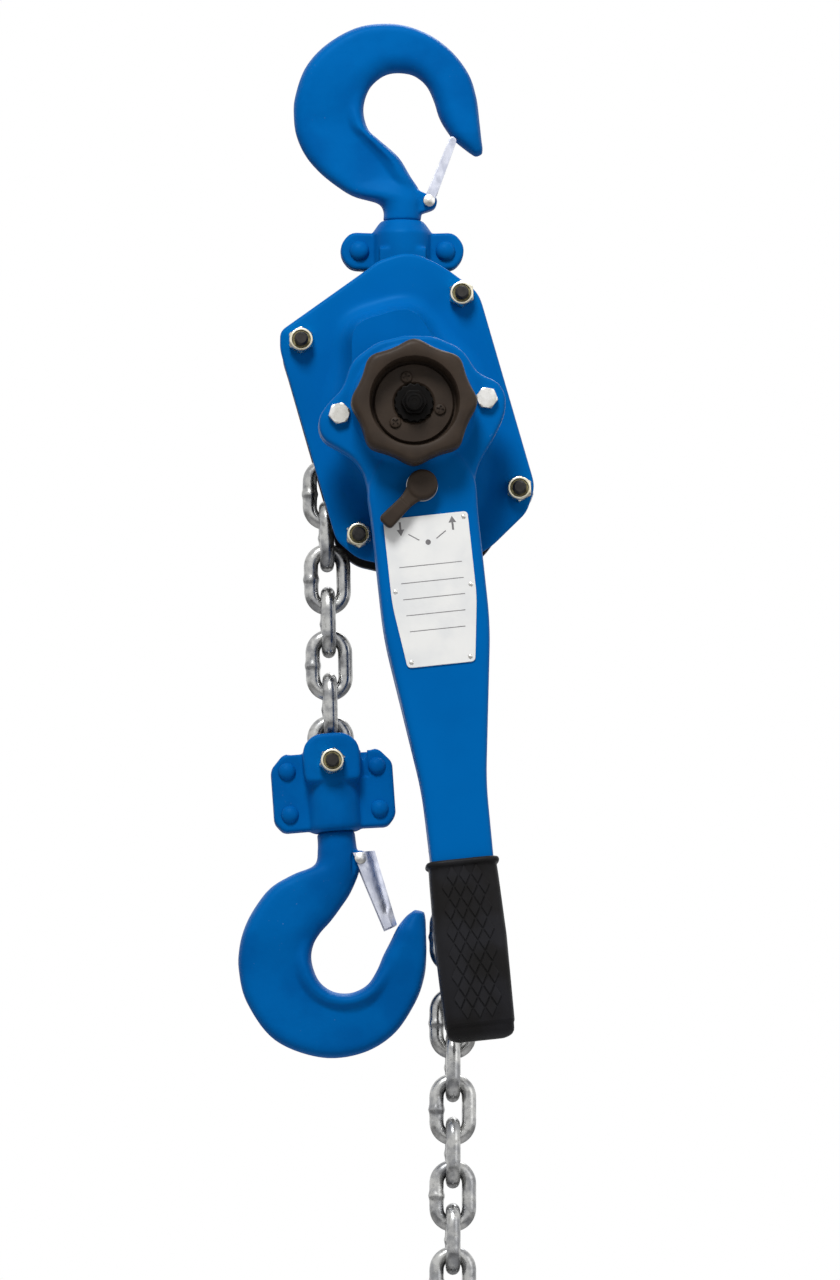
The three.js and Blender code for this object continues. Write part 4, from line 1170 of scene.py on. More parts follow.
@dataclass
class BottomYoke:
    """The four-rivet block between the chain's end and the bottom hook."""

    place: Place
    tools: Tools
    lobe: float = 6.0
    barrel: float = 17.0
    low: float = -38.0
    gap: float = 0.3
    rivets: Sequence[tuple[float, float]] = ((-25, -3), (25, -3), (-25, -27), (25, -27))
    rivet_r: float = 5.0
    pin_r: float = 4.0
    nut_r: float = 7.5

    def _half(self, side: str, s: int) -> tuple[bpy.types.Object, bpy.types.Object]:
        """One half and its rivet heads.

        Args:
            side: the name of the side.
            s: -1 for the front, 1 for the rear.

        Returns:
            The half and the object of its heads.
        """
        flange = rounded(mirrored([
            (12, 7, 2), (26.5, 6.8, 2.5), (33.8, -1.2, 2.5), (33.8, -31, 2.5), (29, -36.8, 2.5),
            (12, -36.5, 0),
        ]))
        crown = rounded(mirrored([(15.5, -11, 4), (16.2, 9, 7), (9, 16.2, 5)]))
        shell = [
            (AXIS, self.low), (12, self.low), (14.6, self.low + 1.2), (15.4, self.low + 3.5), (16, -13),
            (self.barrel, -9), (self.barrel, -6), (AXIS, -6),
        ]
        room = [*arc(0, 0, 60, 25, 155, 8), *arc(0, 0, 11.2, 155, 25, 24)]
        slot = [*arc(0, 0, 14.8, 186, 354, 32), (60, 40), (-60, 40)]
        solids = [
            Solid.plate(flange, -self.lobe, self.lobe, 1.5, 3),
            Solid.turned(shell, 56).moved(UPRIGHT),
            Solid.plate(crown, -self.barrel, self.barrel, 2.2, 4),
        ]
        cuts = [
            half_cut(self.gap, s),
            Solid.plate(room, -13.7, 13.7),
            Solid.plate(slot, -4.9, 4.9),
            Solid.turned([(AXIS, -30), (14, -30), (14, -20), (AXIS, -20)], 40).moved(UPRIGHT),
            Solid.turned([(AXIS, -60), (9.1, -60), (9.1, -25), (AXIS, -25)], 40).moved(UPRIGHT),
            Solid.rod(self.pin_r + 0.3, -20, 20),
        ]
        if s < 0:
            cuts.append(Solid.plate(circle(2.0, 18.4, self.lobe + 0.6, 24), -9, 40).moved(UPRIGHT))
        part = Bench.shape(f"block_half_{side}", self.place, solids, cuts, CAST)
        spots = [Spot((x, s * (self.lobe - 0.2), z), (180 if s > 0 else 0, 0, 0)) for x, z in self.rivets]
        head = Solid.turned(dome_section(self.rivet_r, 0, 3.7), 28)
        heads = self.tools.copies.repeat(
            f"block_rivets_{side}", self.place, [head], spots, Finishes.FORGED_PAINT,
        )
        return part, heads

    def _bolt(self) -> tuple[bpy.types.Object, bpy.types.Object]:
        """The chain pin and its lock nut."""
        pin = [
            (AXIS, -27), (2.9, -27), (3.7, -26.2), (3.7, -17), (4, -16.6), (4, 17.1), (7, 17.3), (7, 20.6),
            (6.2, 21.5), (AXIS, 21.5),
        ]
        return (
            Solid.turned(pin, 40).object("block_chain_bolt", self.place),
            locknut(self.nut_r, -self.barrel - self.gap, 16).object("block_lock_nut", self.place),
        )

    def dress(self) -> None:
        """Builds the pieces and gives each its finish and body."""
        halves = [(side, *self._half(side, s)) for side, s in HALVES]
        pin, nut = self._bolt()
        for side, part, heads in halves:
            hand_over(Finishes.FORGED_PAINT.on(part, 60), "bottom_block", "blue_paint", f"bottom_yoke_{side}")
            hand_over(heads, "bottom_block", "blue_paint")
        hand_over(Finishes.STUD.on(pin), "bottom_block", "black_steel", "chain_pin")
        hand_over(Finishes.NUT.on(nut, 25), "bottom_block", "yellow_zinc", "chain_pin_nut")
        insert = nut_insert(-self.barrel - self.gap).object("block_nut_insert", self.place)
        hand_over(Finishes.INSERT.on(insert, 40), "bottom_block", "yellow_zinc")


# ---------------------------------------------------------------- fasteners
def faceted(r: float, turn: float) -> Callable[[float, float], float]:
    """A radius rule that keeps a turned piece within a hexagon of corner radius r."""
    flat = r * math.cos(math.radians(30))

    def rule(radius: float, angle: float) -> float:
        """The lesser of the radius and the hexagon's reach at the angle."""
        off = (angle - turn + 30) % 60 - 30
        return min(radius, flat / math.cos(math.radians(30 - abs(off))) if abs(off) <= 30 else radius)

    return rule


def locknut(r: float, back: float, turn: float, height: float = 7.6, bore: float = 4.25) -> Solid:
    """A lock nut with a bright turned face round the recess of its insert.

    Args:
        r: the corner radius of the hexagon.
        back: the face that it bears on.
        turn: the angle of one corner.
        height: the whole height.
        bore: the radius of the hole.

    Returns:
        The nut, facing -Y.
    """
    top = back - height
    section = [
        (bore, back), (r * 0.93, back), (r, back - 0.5), (r, top + 3.1), (r * 0.965, top + 2.5),
        (r * 0.9, top + 1.8),
        (r * 0.87, top + 1.3), (r * 0.86, top + 0.6), (r * 0.83, top + 0.15), (r * 0.78, top), (r * 0.7, top),
        (r * 0.665, top + 0.2), (r * 0.65, top + 0.7), (r * 0.65, top + 1.6), (bore, top + 1.6),
    ]
    return Solid.turned(section, 96, faceted(r, turn))


def nut_insert(back: float, height: float = 7.6, bore: float = 3.7) -> Solid:
    """The soft ring in the recess of a lock nut."""
    top = back - height + 0.6
    ring = [
        (bore, top + 1.2), (4.95, top + 1.2), (4.9, top + 0.1), (4.6, top), (4.1, top + 0.1),
        (bore, top + 0.4),
    ]
    return Solid.turned(ring, 64)


def hex_head(r: float, back: float, height: float, turn: float, dish: float = 0.0) -> Solid:
    """A hexagon bolt head facing -Y, with chamfered corners and a shallow dished face."""
    face = back - height
    section = [
        (AXIS, back), (r * 0.93, back), (r, back - 0.4), (r, face + 0.9), (r * 0.93, face + 0.25),
        (r * 0.84, face),
        (r * 0.74, face + dish * 0.2), (r * 0.66, face + dish), (AXIS, face + dish),
    ]
    return Solid.turned(section, 96, faceted(r, turn))


def thread(
    r: float, front: float, back: float, pitch: float = 1.25, depth: float = 0.45,
) -> list[tuple[float, float]]:
    """The section of a threaded stud end from its chamfered tip to y = back."""
    made = [(AXIS, front), (r - 1.0, front), (r - 0.35, front + 0.7)]
    y = front + 0.9
    while y + pitch < back:
        made += [(r, y + 0.1), (r, y + 0.3), (r - depth, y + pitch * 0.6), (r - depth, y + pitch * 0.75)]
        y += pitch
    return [*made, (r, back), (AXIS, back)]


# ---------------------------------------------------------------- housing
@dataclass
class Housing:
    """The side plates between two pressed covers, held by four stay bolts."""

    place: Place
    tools: Tools
    pin: tuple[float, float]
    outline: Sequence[Corner] = (
        (-59, -55, 4), (-50.5, -68, 5), (-21, -84.5, 9), (19, -84.5, 9), (47, -69.5, 4), (55.75, -57, 5.5),
        (56.3, 52.5, 4), (54.5, 58.5, 3), (40.5, 77, 8), (26, 89, 12), (8, 89, 8), (1, 86, 6), (-56, 66, 3.5),
        (-59, 56, 3.5),
    )
    sheet: float = 2.5
    inner: float = 17.5
    outer: float = 21.5
    gap: float = 0.3
    crown: float = -43.0
    back: float = 47.0
    brake_bore: float = 25.7
    journal: float = 15.9
    stay_x: float = 46.5
    stay_top: float = 57.5
    stay_low: float = -56.0
    # straight down the near-black plates come almost to the cover's edge, as a painted shade band under the
    # housing
    stay_r: float = 3.75
    nut_r: float = 7.5
    inset: float = 2.9
    shade_band_inset: float = 0.4
    sectors: int = 360
    hem_r: float = 2.0
    brake_foot: Sequence[Corner] = (
        (15, 67.5, 9), (27.5, 59.5, 8), (34, 39, 12), (46, 20.5, 12), (48, -13, 12), (36, -38, 12),
        (27, -58.5, 8),
        (15, -66.5, 9),
    )
    brake_brow: Sequence[Corner] = (
        (13, 58.5, 7), (20, 52.5, 6), (25.5, 33, 10), (36, 15.5, 12), (37, -11, 12), (27, -32, 12),
        (20, -52, 6),
        (13, -57.5, 7),
    )
    gear_case: Sequence[Corner] = ((16, 68.5, 16), (33.5, 56, 16), (33.5, -56, 16), (16, -68.5, 16))

    @property
    def stays(self) -> list[tuple[float, float]]:
        """Where the stay bolts pass."""
        return [(x, z) for z in (self.stay_top, self.stay_low) for x in (-self.stay_x, self.stay_x)]

    def _reach(self, outline: Flat) -> np.ndarray:
        """How far an outline reaches from the drive axis at each sector."""
        p = np.array(outline)
        p = np.vstack([p, p[:1]])
        dense = np.vstack([np.linspace(a, b, 24, endpoint=False) for a, b in zip(p[:-1], p[1:])])
        angle = np.arctan2(dense[:, 1], dense[:, 0])
        order = np.argsort(angle)
        return np.interp(self._angles(), angle[order], np.hypot(*dense[order].T), period=2 * math.pi)

    def _tuck(self, angle: np.ndarray) -> np.ndarray:
        """How far the plates and the rear cover stay inside the front cover's edge: least straight down,
        where the near-black plates paint the shade band under the housing.
        """
        down = math.radians(-90 - self.place.turn)
        share = np.clip((np.cos(angle - down) - 0.8) / 0.1, 0, 1)
        return self.inset - (self.inset - self.shade_band_inset) * share * share * (3 - 2 * share)

    def _angles(self) -> np.ndarray:
        """The angle of each sector."""
        return np.linspace(-math.pi, math.pi, self.sectors, endpoint=False)

    def _pressing(self, levels: Sequence[tuple[np.ndarray, float]]) -> Solid:
        """A pressing through closed levels of (reach, y)."""
        a = self._angles()
        return Solid.loft(
            [np.stack([r * np.cos(a), np.full(len(a), y), r * np.sin(a)], 1) for r, y in levels], closed=True,
        )

    def _hem(self, flange: np.ndarray, flat: float, s: int) -> list[tuple[np.ndarray, float]]:
        """The levels of a flange's rounded edge, from its face towards +Y at s = 1 and -Y at s = -1."""
        r = self.hem_r
        return [
            (flange - r + r * math.sin(a), flat + s * (r - r * math.cos(a)))
            for a in np.radians((25, 50, 75, 90))
        ]

    def brake_cover(self) -> bpy.types.Object:
        """The front cover: a flat flange that rises in a soft shoulder to the brake's bulge."""
        flange = self._reach(rounded(self.outline))
        foot = self._reach(rounded(mirrored(self.brake_foot)))
        brow = self._reach(rounded(mirrored(self.brake_brow)))
        bore = np.full(self.sectors, self.brake_bore)
        steps, knee = 24, 0.07
        flat = -self.outer - self.gap - self.sheet

        def wall(shift: float, tuck: float) -> list[tuple[np.ndarray, float]]:
            """The levels of one side of the sheet, from the bore out to the rim."""
            top = self.crown + shift
            made = [(bore, top), (bore + (brow - bore) * 0.6, top), (brow - 1.5, top)]
            for k in range(1, steps + 1):
                t = k / steps
                fall = 1 - (1 - max(0.0, t - knee * (1 - math.exp(-t / knee))) / (1 - knee)) ** 2.3
                reach = brow - 1.5 + (foot + 3 - brow + 1.5) * (0.45 * t + 0.55 * t * t)
                made.append((reach - tuck * math.sin(math.pi * t), top + (flat - self.crown) * fall))
            made += [(foot + 3 + (flange - 2.2 - foot - 3) * t, flat + shift) for t in (0.35, 0.7, 1.0)]
            return made

        outside, inside = wall(0.0, 0.0), wall(self.sheet, 1.2)
        levels = [*outside, *self._hem(flange, flat, 1), (flange - 0.1, flat + self.sheet), *reversed(inside)]
        return self._pressing(levels).object("brake_side_cover", self.place)

    def gear_cover(self) -> bpy.types.Object:
        """The rear cover: a flange that rises to a long flat gear case."""
        flange = self._reach(rounded(self.outline)) - self._tuck(self._angles())
        case = self._reach(rounded(mirrored(self.gear_case)))
        near = self.outer + self.gap
        flat = near + self.sheet
        top = self.back

        def wall(shift: float) -> list[tuple[np.ndarray, float]]:
            """The levels of one side of the sheet, from the middle out to the rim."""
            made = [(case * s, top - shift) for s in (0.004, 0.4, 0.8)]
            side = case - shift
            for a in np.radians(range(0, 91, 15)):
                made.append((side - 5 + 5 * math.sin(a), top - shift - 5 + 5 * math.cos(a)))
            made.append((side + 0.1, flat + 4))
            for a in np.radians((30, 60, 90)):
                made.append((side + 3 - 3 * math.cos(a), flat - shift + 3 - 3 * math.sin(a)))
            return [*made, (case + 4, flat - shift), (flange - 2.2, flat - shift)]

        levels = [*wall(0.0), *self._hem(flange, flat, -1), (flange - 0.1, near), *reversed(wall(self.sheet))]
        return self._pressing(levels).object("gear_side_cover", self.place)

    def side_plates(self) -> list[bpy.types.Object]:
        """The two thick plates that carry the sheave, near black so that their lower edges paint the shade
        under the housing.
        """
        outline = [
            polar(
                math.hypot(x, z) - float(self._tuck(np.array(math.atan2(z, x)))) - 0.1,
                math.degrees(math.atan2(z, x)),
            )
            for x, z in rounded(self.outline)
        ]
        flat = math.radians(self.place.turn)
        dx, dz = self.pin[0] - self.place.x, self.pin[1] - self.place.z
        x, z = dx * math.cos(flat) + dz * math.sin(flat), dz * math.cos(flat) - dx * math.sin(flat)
        made = []
        for side, front in (("front", -self.outer), ("rear", self.inner)):
            cuts = [
                Solid.rod(self.journal, front - 1, front + 5),
                Solid.rod(YOKE_PIN_BORE, front - 1, front + 5, x, z),
            ]
            plate = Solid.plate(outline, front, front + self.outer - self.inner, 0.5, 2)
            made.append(Bench.shape(f"frame_plate_{side}", self.place, [plate], cuts))
        return made

    def fasteners(self) -> tuple[bpy.types.Object, bpy.types.Object, bpy.types.Object]:
        """The stay bolts with their threaded ends, the lock nuts and the nuts' inserts."""
        seat = -self.outer - self.gap - self.sheet - self.gap
        tip, head = seat - 12.3, self.outer + 2 * self.gap + self.sheet
        shank = [
            *thread(self.stay_r, tip, seat + 1)[:-2], (self.stay_r, -17.6), (6, -17.2), (6, -6.6),
            (3.6, -6.0),
            (3.6, 6.0), (6, 6.6), (6, 17.2), (self.stay_r, 17.6), (self.stay_r, head + 1), (AXIS, head + 1),
        ]
        spots = [Spot((x, 0, z)) for x, z in self.stays]
        heads = hex_head(self.nut_r, -head, 5.2, 15, 0.3).flipped()
        kinds = (
            ("stay_bolts", [Solid.turned(shank, 40), heads], Finishes.STUD),
            ("stay_lock_nuts", [locknut(self.nut_r, seat, 15)], Finishes.NUT),
            ("stay_nut_inserts", [nut_insert(seat)], Finishes.INSERT),
        )
        bolts, nuts, rings = (self.tools.copies.repeat(n, self.place, one, spots, f) for n, one, f in kinds)
        return bolts, nuts, rings

    def dress(self) -> None:
        """Builds the pieces and gives each its finish and body."""
        hand_over(Finishes.PRESSED_PAINT.on(self.brake_cover(), 55), "frame", "blue_paint", "brake_cover")
        hand_over(Finishes.PRESSED_PAINT.on(self.gear_cover(), 55), "frame", "blue_paint", "gear_cover")
        for made, side in zip(self.side_plates(), ("front", "rear")):
            hand_over(Finishes.BLACK_STEEL.on(made), "frame", "black_steel", f"side_plate_{side}")
        bolts, nuts, rings = self.fasteners()
        hand_over(rings, "frame", "yellow_zinc")
        corners = ("top_left", "top_right", "low_left", "low_right")
        hand_over(Finishes.STUD.on(bolts, 35), "frame", "black_steel", *[f"stay_bolt_{c}" for c in corners])
        hand_over(Finishes.NUT.on(nuts, 25), "frame", "yellow_zinc", *[f"stay_nut_{c}" for c in corners])


# ---------------------------------------------------------------- chain
@dataclass
class Chain:
    """The load chain: two hanging runs and the links round the sheave."""

    place: Place
    tools: Tools
    lean: float
    wire: float = 8.0
    pitch: float = 24.0
    inner: float = 10.0
    start: float = 186.0
    pockets: int = 6
    chords: int = 8
    load_links: int = 8
    slack_links: int = 20
    weld: float = 0.16
    ring_r: float = 15.0
    ring_wire: float = 2.5

    def _between(self, first: tuple[float, float], last: tuple[float, float], edge_on: bool) -> Spot:
        """The spot of a link between two points of the chain line."""
        lean = math.degrees(math.atan2(last[1] - first[1], last[0] - first[0]))
        return Spot(((first[0] + last[0]) / 2, 0, (first[1] + last[1]) / 2), (0 if edge_on else 90, lean, 0))

    def _links(self, name: str, spots: Sequence[Spot]) -> bpy.types.Object:
        """One object of links at the spots."""
        values = {
            "Wire": self.wire * MM, "Pitch": self.pitch * MM, "Inner Width": self.inner * MM,
            "Weld": self.weld,
            "Material": Finishes.CHAIN.value.material(),
        }
        return Finishes.CHAIN.on(self.tools.links.run(spots_object(name, self.place, spots), values), 60)

    def dress(self) -> None:
        """Builds the three runs and gives each its body."""
        reach = self.pitch / 2 / math.sin(math.pi / (2 * self.pockets))
        step = 180 / self.pockets
        around = [polar(reach, self.start - j * step) for j in range(self.chords + 1)]

        def below(at: tuple[float, float], n: float, shift: float = 0.0) -> tuple[float, float]:
            """The point n links below another."""
            return at[0], at[1] - n * self.pitch + shift

        def along(n: int, shift: float = 0.0) -> tuple[float, float]:
            """The point n links down the load run, which leans from the second link on."""
            x, z = polar(max(n - 2, 0) * self.pitch, self.lean - 90, *below(around[0], min(n, 2)))
            return x, z + shift

        run = [self._between(along(m + 1, -0.3 if m == 1 else 0), along(m, -0.3 if m == 1 else 0), m % 2 == 0)
               for m in range(self.load_links)]
        wrap = [self._between(around[j], around[j + 1], j % 2 == 1) for j in range(self.chords)]
        end_turn = self.start - (self.chords - 0.5) * step - 90
        dx, dz = polar(self.wire / 2 + 0.5, end_turn)
        hang = (around[-1][0] + dx, around[-1][1] + dz + self.wire / 2 + 0.6)
        slack = [
            self._between(below(hang, m + 1), below(hang, m), m % 2 == 1) for m in range(self.slack_links)
        ]
        over = self._links("chain_round_sheave", [*wrap, *run[:2]])
        hand_over(over, "frame", "chain_steel", "chain_over_sheave")
        load = self._links("load_chain", run[2:])
        hand_over(load, "load_run", "chain_steel", *[f"load_link_{k}" for k in range(1, self.load_links - 1)])
        tail = below(hang, self.slack_links)
        ring = [
            (self.ring_r + self.ring_wire * math.cos(a), self.ring_wire * math.sin(a))
            for a in np.radians(range(0, 360, 24))
        ]
        loop = Solid.turned(ring, 56).spun(90).moved(Matrix.Rotation(math.radians(90), 4, "Z"))
        loop = loop.shifted(tail[0], 0, tail[1] + self.ring_wire - self.ring_r)
        end = Finishes.CHAIN.on(loop.object("slack_end_ring", self.place), 60)
        hand_over(self._links("slack_run_chain", slack), "slack_run", "chain_steel", "slack_chain")
        hand_over(end, "slack_run", "chain_steel")


# ---------------------------------------------------------------- lever
@dataclass
class Lever:
    """The ratchet lever: two pressed shells, bolts, selector, plate and grip."""

    place: Place
    tools: Tools
    split: float = -61.0
    face: float = -71.3
    panel: float = -74.0
    rear: float = -51.0
    rear_panel: float = -48.5
    drum: float = 34.0
    drum_front: float = -78.0
    drum_back: float = -45.0
    bolt_x: float = 41.0
    gap: float = 0.3
    selector_z: float = -45.0
    selector_r: float = 8.5
    selector_arm: float = 30.5
    selector_turn: float = -50.0
    grip_half: float = 20.2
    grip_neck: float = 18.8
    grip_top: float = -253.0
    grip_low: float = -353.0
    grip_front: float = -76.0
    grip_back: float = -46.0
    diamond_rows: int = 13
    diamond_low: float = 16.5
    diamond_reach: float = 10.5
    shell_bore: float = 12.5
    rear_bore: float = 15.5
    gear_room: float = 30.5
    pawl_room: float = 23.0
    outline: Sequence[Corner] = (
        (0, 40, 0), (16, 38, 5), (31, 29, 6), (37.5, 15, 5), (48.5, 9, 5), (52, 1, 4), (50.5, -9, 5),
        (43.5, -21, 6),
        (34, -33, 6), (29.8, -43, 6), (29.5, -62, 6), (29.5, -125, 14), (17.4, -214, 12), (16.8, -339, 0),
        (-16.8, -339, 0), (-17.4, -214, 12), (-29.5, -125, 14), (-29.5, -62, 6), (-29.8, -42, 6),
        (-31, -33, 5),
        (-36, -24.5, 6), (-44, -18.5, 6), (-51, -13.5, 4), (-53.4, -6.5, 4), (-52, 0.5, 4), (-46, 7.5, 6),
        (-37.5, 14, 5), (-31, 29, 6), (-16, 38, 5),
    )
    panel_outline: Sequence[Corner] = (
        (22, -26, 8), (30.5, -43, 7), (29.5, -62, 6), (29.5, -125, 14), (17.8, -212, 12), (17.2, -262, 2),
    )

    def _drum(self, face: float) -> Solid:
        """The round boss of one shell, from its face to the split."""
        s = math.copysign(1.0, self.split - face)
        curve = [
            (self.drum - 6 + 6 * math.sin(a), face + s * (6 - 6 * math.cos(a)))
            for a in np.radians(range(0, 91, 15))
        ]
        return Solid.turned([(AXIS, face), *curve, (self.drum, self.split), (AXIS, self.split)], 72)

    def shells(self) -> list[bpy.types.Object]:
        """The front and the rear shell, open inside for the ratchet."""
        outline = rounded(self.outline, 5)
        panel = rounded(mirrored(self.panel_outline), 5)
        hollow = [(-25.5, -60), (-25.5, -124), (-13, -205), (13, -205), (25.5, -124), (25.5, -60)]
        made = []
        for front in (True, False):
            face, raised, drum = (
                (self.face, self.panel, self.drum_front) if front
                else (self.rear, self.rear_panel, self.drum_back)
            )
            edge = self.split - self.gap if front else self.split
            base = sorted((face, self.split + (2.4 if front else -2.4)))
            lift = sorted((raised, self.split + (3.5 if front else -3.5)))
            inside = (-70.6, -55) if front else (-66, -51.5)
            solids = [
                Solid.plate(outline, *base, 2.4, 4),
                Solid.plate(panel, *lift, 3.4, 4),
                self._drum(drum),
            ]
            cuts = [
                Solid.box(-FAR, FAR, *((edge, 0) if front else (-120, edge)), -400, FAR),
                Solid.rod(self.shell_bore if front else self.rear_bore, -FAR, 0),
                Solid.rod(self.gear_room, *((-75, -55) if front else (-66, -48))),
                Solid.rod(self.pawl_room, *inside, 0, self.selector_z),
                Solid.plate(hollow, *inside),
            ]
            if front:
                cuts.append(Solid.rod(4.3, -FAR, 0, 0, self.selector_z))
            side = "front" if front else "rear"
            made.append(Bench.shape(f"lever_shell_{side}", self.place, solids, cuts, PRESSED))
        return made

    def bolts(self) -> bpy.types.Object:
        """The two bolts that close the shells."""
        back = self.face + 0.4
        shank = Solid.rod(3, back - 1, self.rear + 1, sides=24)
        nut = Solid.rod(5.2, self.rear + 0.2, self.rear + 3.0, edge=0.5, sides=6)
        head = hex_head(6.3, back, 4.6, 0)
        spots = [Spot((x, 0, 0), (0, turn, 0)) for x, turn in ((-self.bolt_x, 8), (self.bolt_x, -14))]
        return self.tools.copies.repeat("lever_bolts", self.place, [head, shank, nut], spots, Finishes.BOLT)

    def grip(self) -> list[bpy.types.Object]:
        """The moulded grip with its lip, its socket and the diamonds on both faces."""
        mid, deep = (self.grip_front + self.grip_back) / 2, (self.grip_back - self.grip_front) / 2

        def ring(half: float, depth: float, z: float, power: float = 5.0, sides: int = 72) -> np.ndarray:
            """A rounded rectangle across the grip."""
            made = []
            for k in range(sides):
                a = 2 * math.pi * k / sides
                c, s = math.cos(a), math.sin(a)
                r = (abs(c) ** power + abs(s) ** power) ** (-1 / power)
                made.append((half * c * r, mid + depth * s * r, z))
            return np.array(made)

        top, low, half, neck = self.grip_top, self.grip_low, self.grip_half, self.grip_neck
        rings = [ring(17.6, 10.8, top - 8, 12), ring(17.6, 10.8, top - 1.2, 12), ring(18.3, 11.8, top, 10)]
        for a in np.radians((0, 30, 60, 90, 120, 150, 175)):
            out, along = math.sin(a), math.cos(a)
            rings.append(ring(neck + 0.1 + 1.5 * out, deep - 0.4 + 1.4 * out, top - 1.7 + 1.7 * along))
        rings += [
            ring(neck, deep - 0.7, top - 4.4), ring(neck + 0.3, deep - 0.5, top - 11),
            ring(half - 0.2, deep - 0.5, top - 44), ring(half - 0.9, deep - 0.5, low + 9.5),
            ring(half - 1.0, deep - 0.9, low + 8.6), ring(half - 1.4, deep - 2.2, low + 7.9),
        ]
        for u in (0.2, 0.4, 0.55, 0.7, 0.8, 0.88, 0.95, 1.0):
            width, depth = (half - 1.5) * (1 - 0.32 * u**5), (deep - 2.4) * math.sqrt(1 - 0.94 * u * u)
            rings.append(ring(width, depth, low + 7.6 * (1 - u), 4.6))
        body = Solid.loft(rings).object("lever_grip", self.place)
        wide, tall, cut = 6.8, 12.4, 0.45
        share = 1 - 2 * cut / wide
        corners = [(wide / 2, 0), (0, tall / 2), (-wide / 2, 0), (0, -tall / 2)]
        levels = ((0.9, share), (-0.25, share), (-0.5, share - 0.1))
        diamond = Solid.loft([np.array([(x * s, y, z * s) for x, z in corners]) for y, s in levels])
        spots = []
        for row in range(self.diamond_rows):
            for column in range(-2, 3):
                x = (column + 0.5 * (row % 2)) * wide
                z = self.grip_low + self.diamond_low + row * tall / 2
                if abs(x) < self.diamond_reach:
                    spots.append(Spot((x, self.grip_front + 0.3, z)))
                    spots.append(Spot((x, self.grip_back - 0.3, z), (0, 0, 180)))
        tread = self.tools.copies.repeat("grip_diamonds", self.place, [diamond], spots, Finishes.RUBBER)
        return [body, tread]

    def name_plate(self) -> list[bpy.types.Object]:
        """The riveted plate with plain marks for up, neutral and down."""
        face = self.panel - 0.35
        outline = rounded(mirrored([(23.5, -61.5, 2.5), (23.5, -109, 6), (18.8, -145, 2.5)]), 6)
        sheet = Solid.plate(outline, face - 0.55, face + 0.4, 0.15, 2).object("rating_plate", self.place)
        rivets = [(-21, -64.3), (21, -64.3), (-21, -102), (21, -102), (-16.4, -142), (16.4, -142)]
        pins = self.tools.copies.repeat(
            "plate_rivets", self.place, [Solid.turned(dome_section(1.35, 0, 0.75), 18)],
            [Spot((x, face - 0.5, z)) for x, z in rivets], Finishes.BOLT,
        )
        ink = (face - 0.62, face - 0.5)
        marks = []
        for s in (-1, 1):
            marks.append(Solid.box(-3.4, 3.4, *ink, -0.28, 0.28).spun(s * 34).shifted(s * 7.6, 0, -73))
            arrow = [
                (-3.6, -0.55), (0.6, -0.55), (0.6, -2.1), (4.2, 0), (0.6, 2.1), (0.6, 0.55), (-3.6, 0.55),
            ]
            marks.append(Solid.plate(arrow, *ink).spun(90 * s).shifted(s * 14.5, 0, -67.5))
        marks.append(Solid.plate([*circle(1.5, 0, -76.5, 24)], *ink))
        rows = [(-89, 17.4), (-98, 17.4), (-107, 17.2), (-116, 16.4), (-125, 15.4)]
        marks += [Solid.box(-w, w, *ink, z - 0.2, z + 0.2) for z, w in rows]
        return [sheet, pins, Bench.weld("plate_marks", [m.object("plate_mark", self.place) for m in marks])]

    def selector(self) -> list[bpy.types.Object]:
        """The selector, a round boss with a tapered arm, and the bright rim under it: a painted highlight
        round the boss.
        """
        r, z = self.selector_r, self.selector_z
        boss = [
            (AXIS, -84), (r - 2.0, -84), (r - 0.9, -83.7), (r - 0.3, -83.1), (r, -82.2), (r, -76.2),
            (AXIS, -76.2),
        ]
        # a thin bright steel ring just outside the boss, whose edge paints the highlight line round the
        # selector
        rim = [(4.2, -75.9), (8.4, -75.9), (8.75, -75.6), (8.75, -74.6), (4.2, -74.6)]
        end = self.selector_arm
        arm = rounded([
            (-6.6, -3, 0), (-4.1, -11, 5), (-3.9, -end * 0.6, 6), (-4.5, -end, 3), (4.5, -end, 3),
            (3.9, -end * 0.6, 6), (4.1, -11, 5), (6.6, -3, 0),
        ], 6)
        pad = rounded([(-3.9, -13.5, 1), (-4.6, -end, 3), (4.6, -end, 3), (3.9, -13.5, 1)], 6)
        solids = [
            Solid.turned(boss, 48), Solid.rod(4, -77, -55.8),
            Solid.plate(arm, -83.0, -76.7, 1.7, 4).spun(self.selector_turn),
            Solid.plate(pad, -83.9, -76.9, 1.2, 4).spun(self.selector_turn),
        ]
        handle = Bench.shape("selector_handle", self.place, [s.shifted(z=z) for s in solids], melt=MOULDED)
        return [handle, Solid.turned(rim, 64).shifted(z=z).object("selector_rim", self.place)]

    def dress(self) -> None:
        """Builds the pieces and gives each its finish and body."""
        for made, side in zip(self.shells(), ("front", "rear")):
            hand_over(Finishes.PRESSED_PAINT.on(made, 60), "lever", "blue_paint", f"lever_{side}_shell")
        hand_over(
            Finishes.BOLT.on(self.bolts(), 25), "lever", "zinc_steel", "lever_bolt_left", "lever_bolt_right",
        )
        body, tread = self.grip()
        hand_over(Finishes.RUBBER.on(body, 50), "lever", "grip_rubber", "grip")
        hand_over(Finishes.RUBBER.on(tread, 25), "lever", "grip_rubber")
        sheet, pins, marks = self.name_plate()
        hand_over(Finishes.PLATE.on(sheet), "lever", "plate_white", "name_plate")
        hand_over(pins, "lever", "zinc_steel")
        hand_over(Finishes.INK.on(marks), "lever", "plate_white")
        handle, rim = self.selector()
        hand_over(Finishes.WHEEL.on(handle, 50), "selector", "wheel_black", "selector_knob")
        # the bright rim paints the highlight line round the selector
        hand_over(Finishes.MACHINED.on(rim), "selector", "zinc_steel")


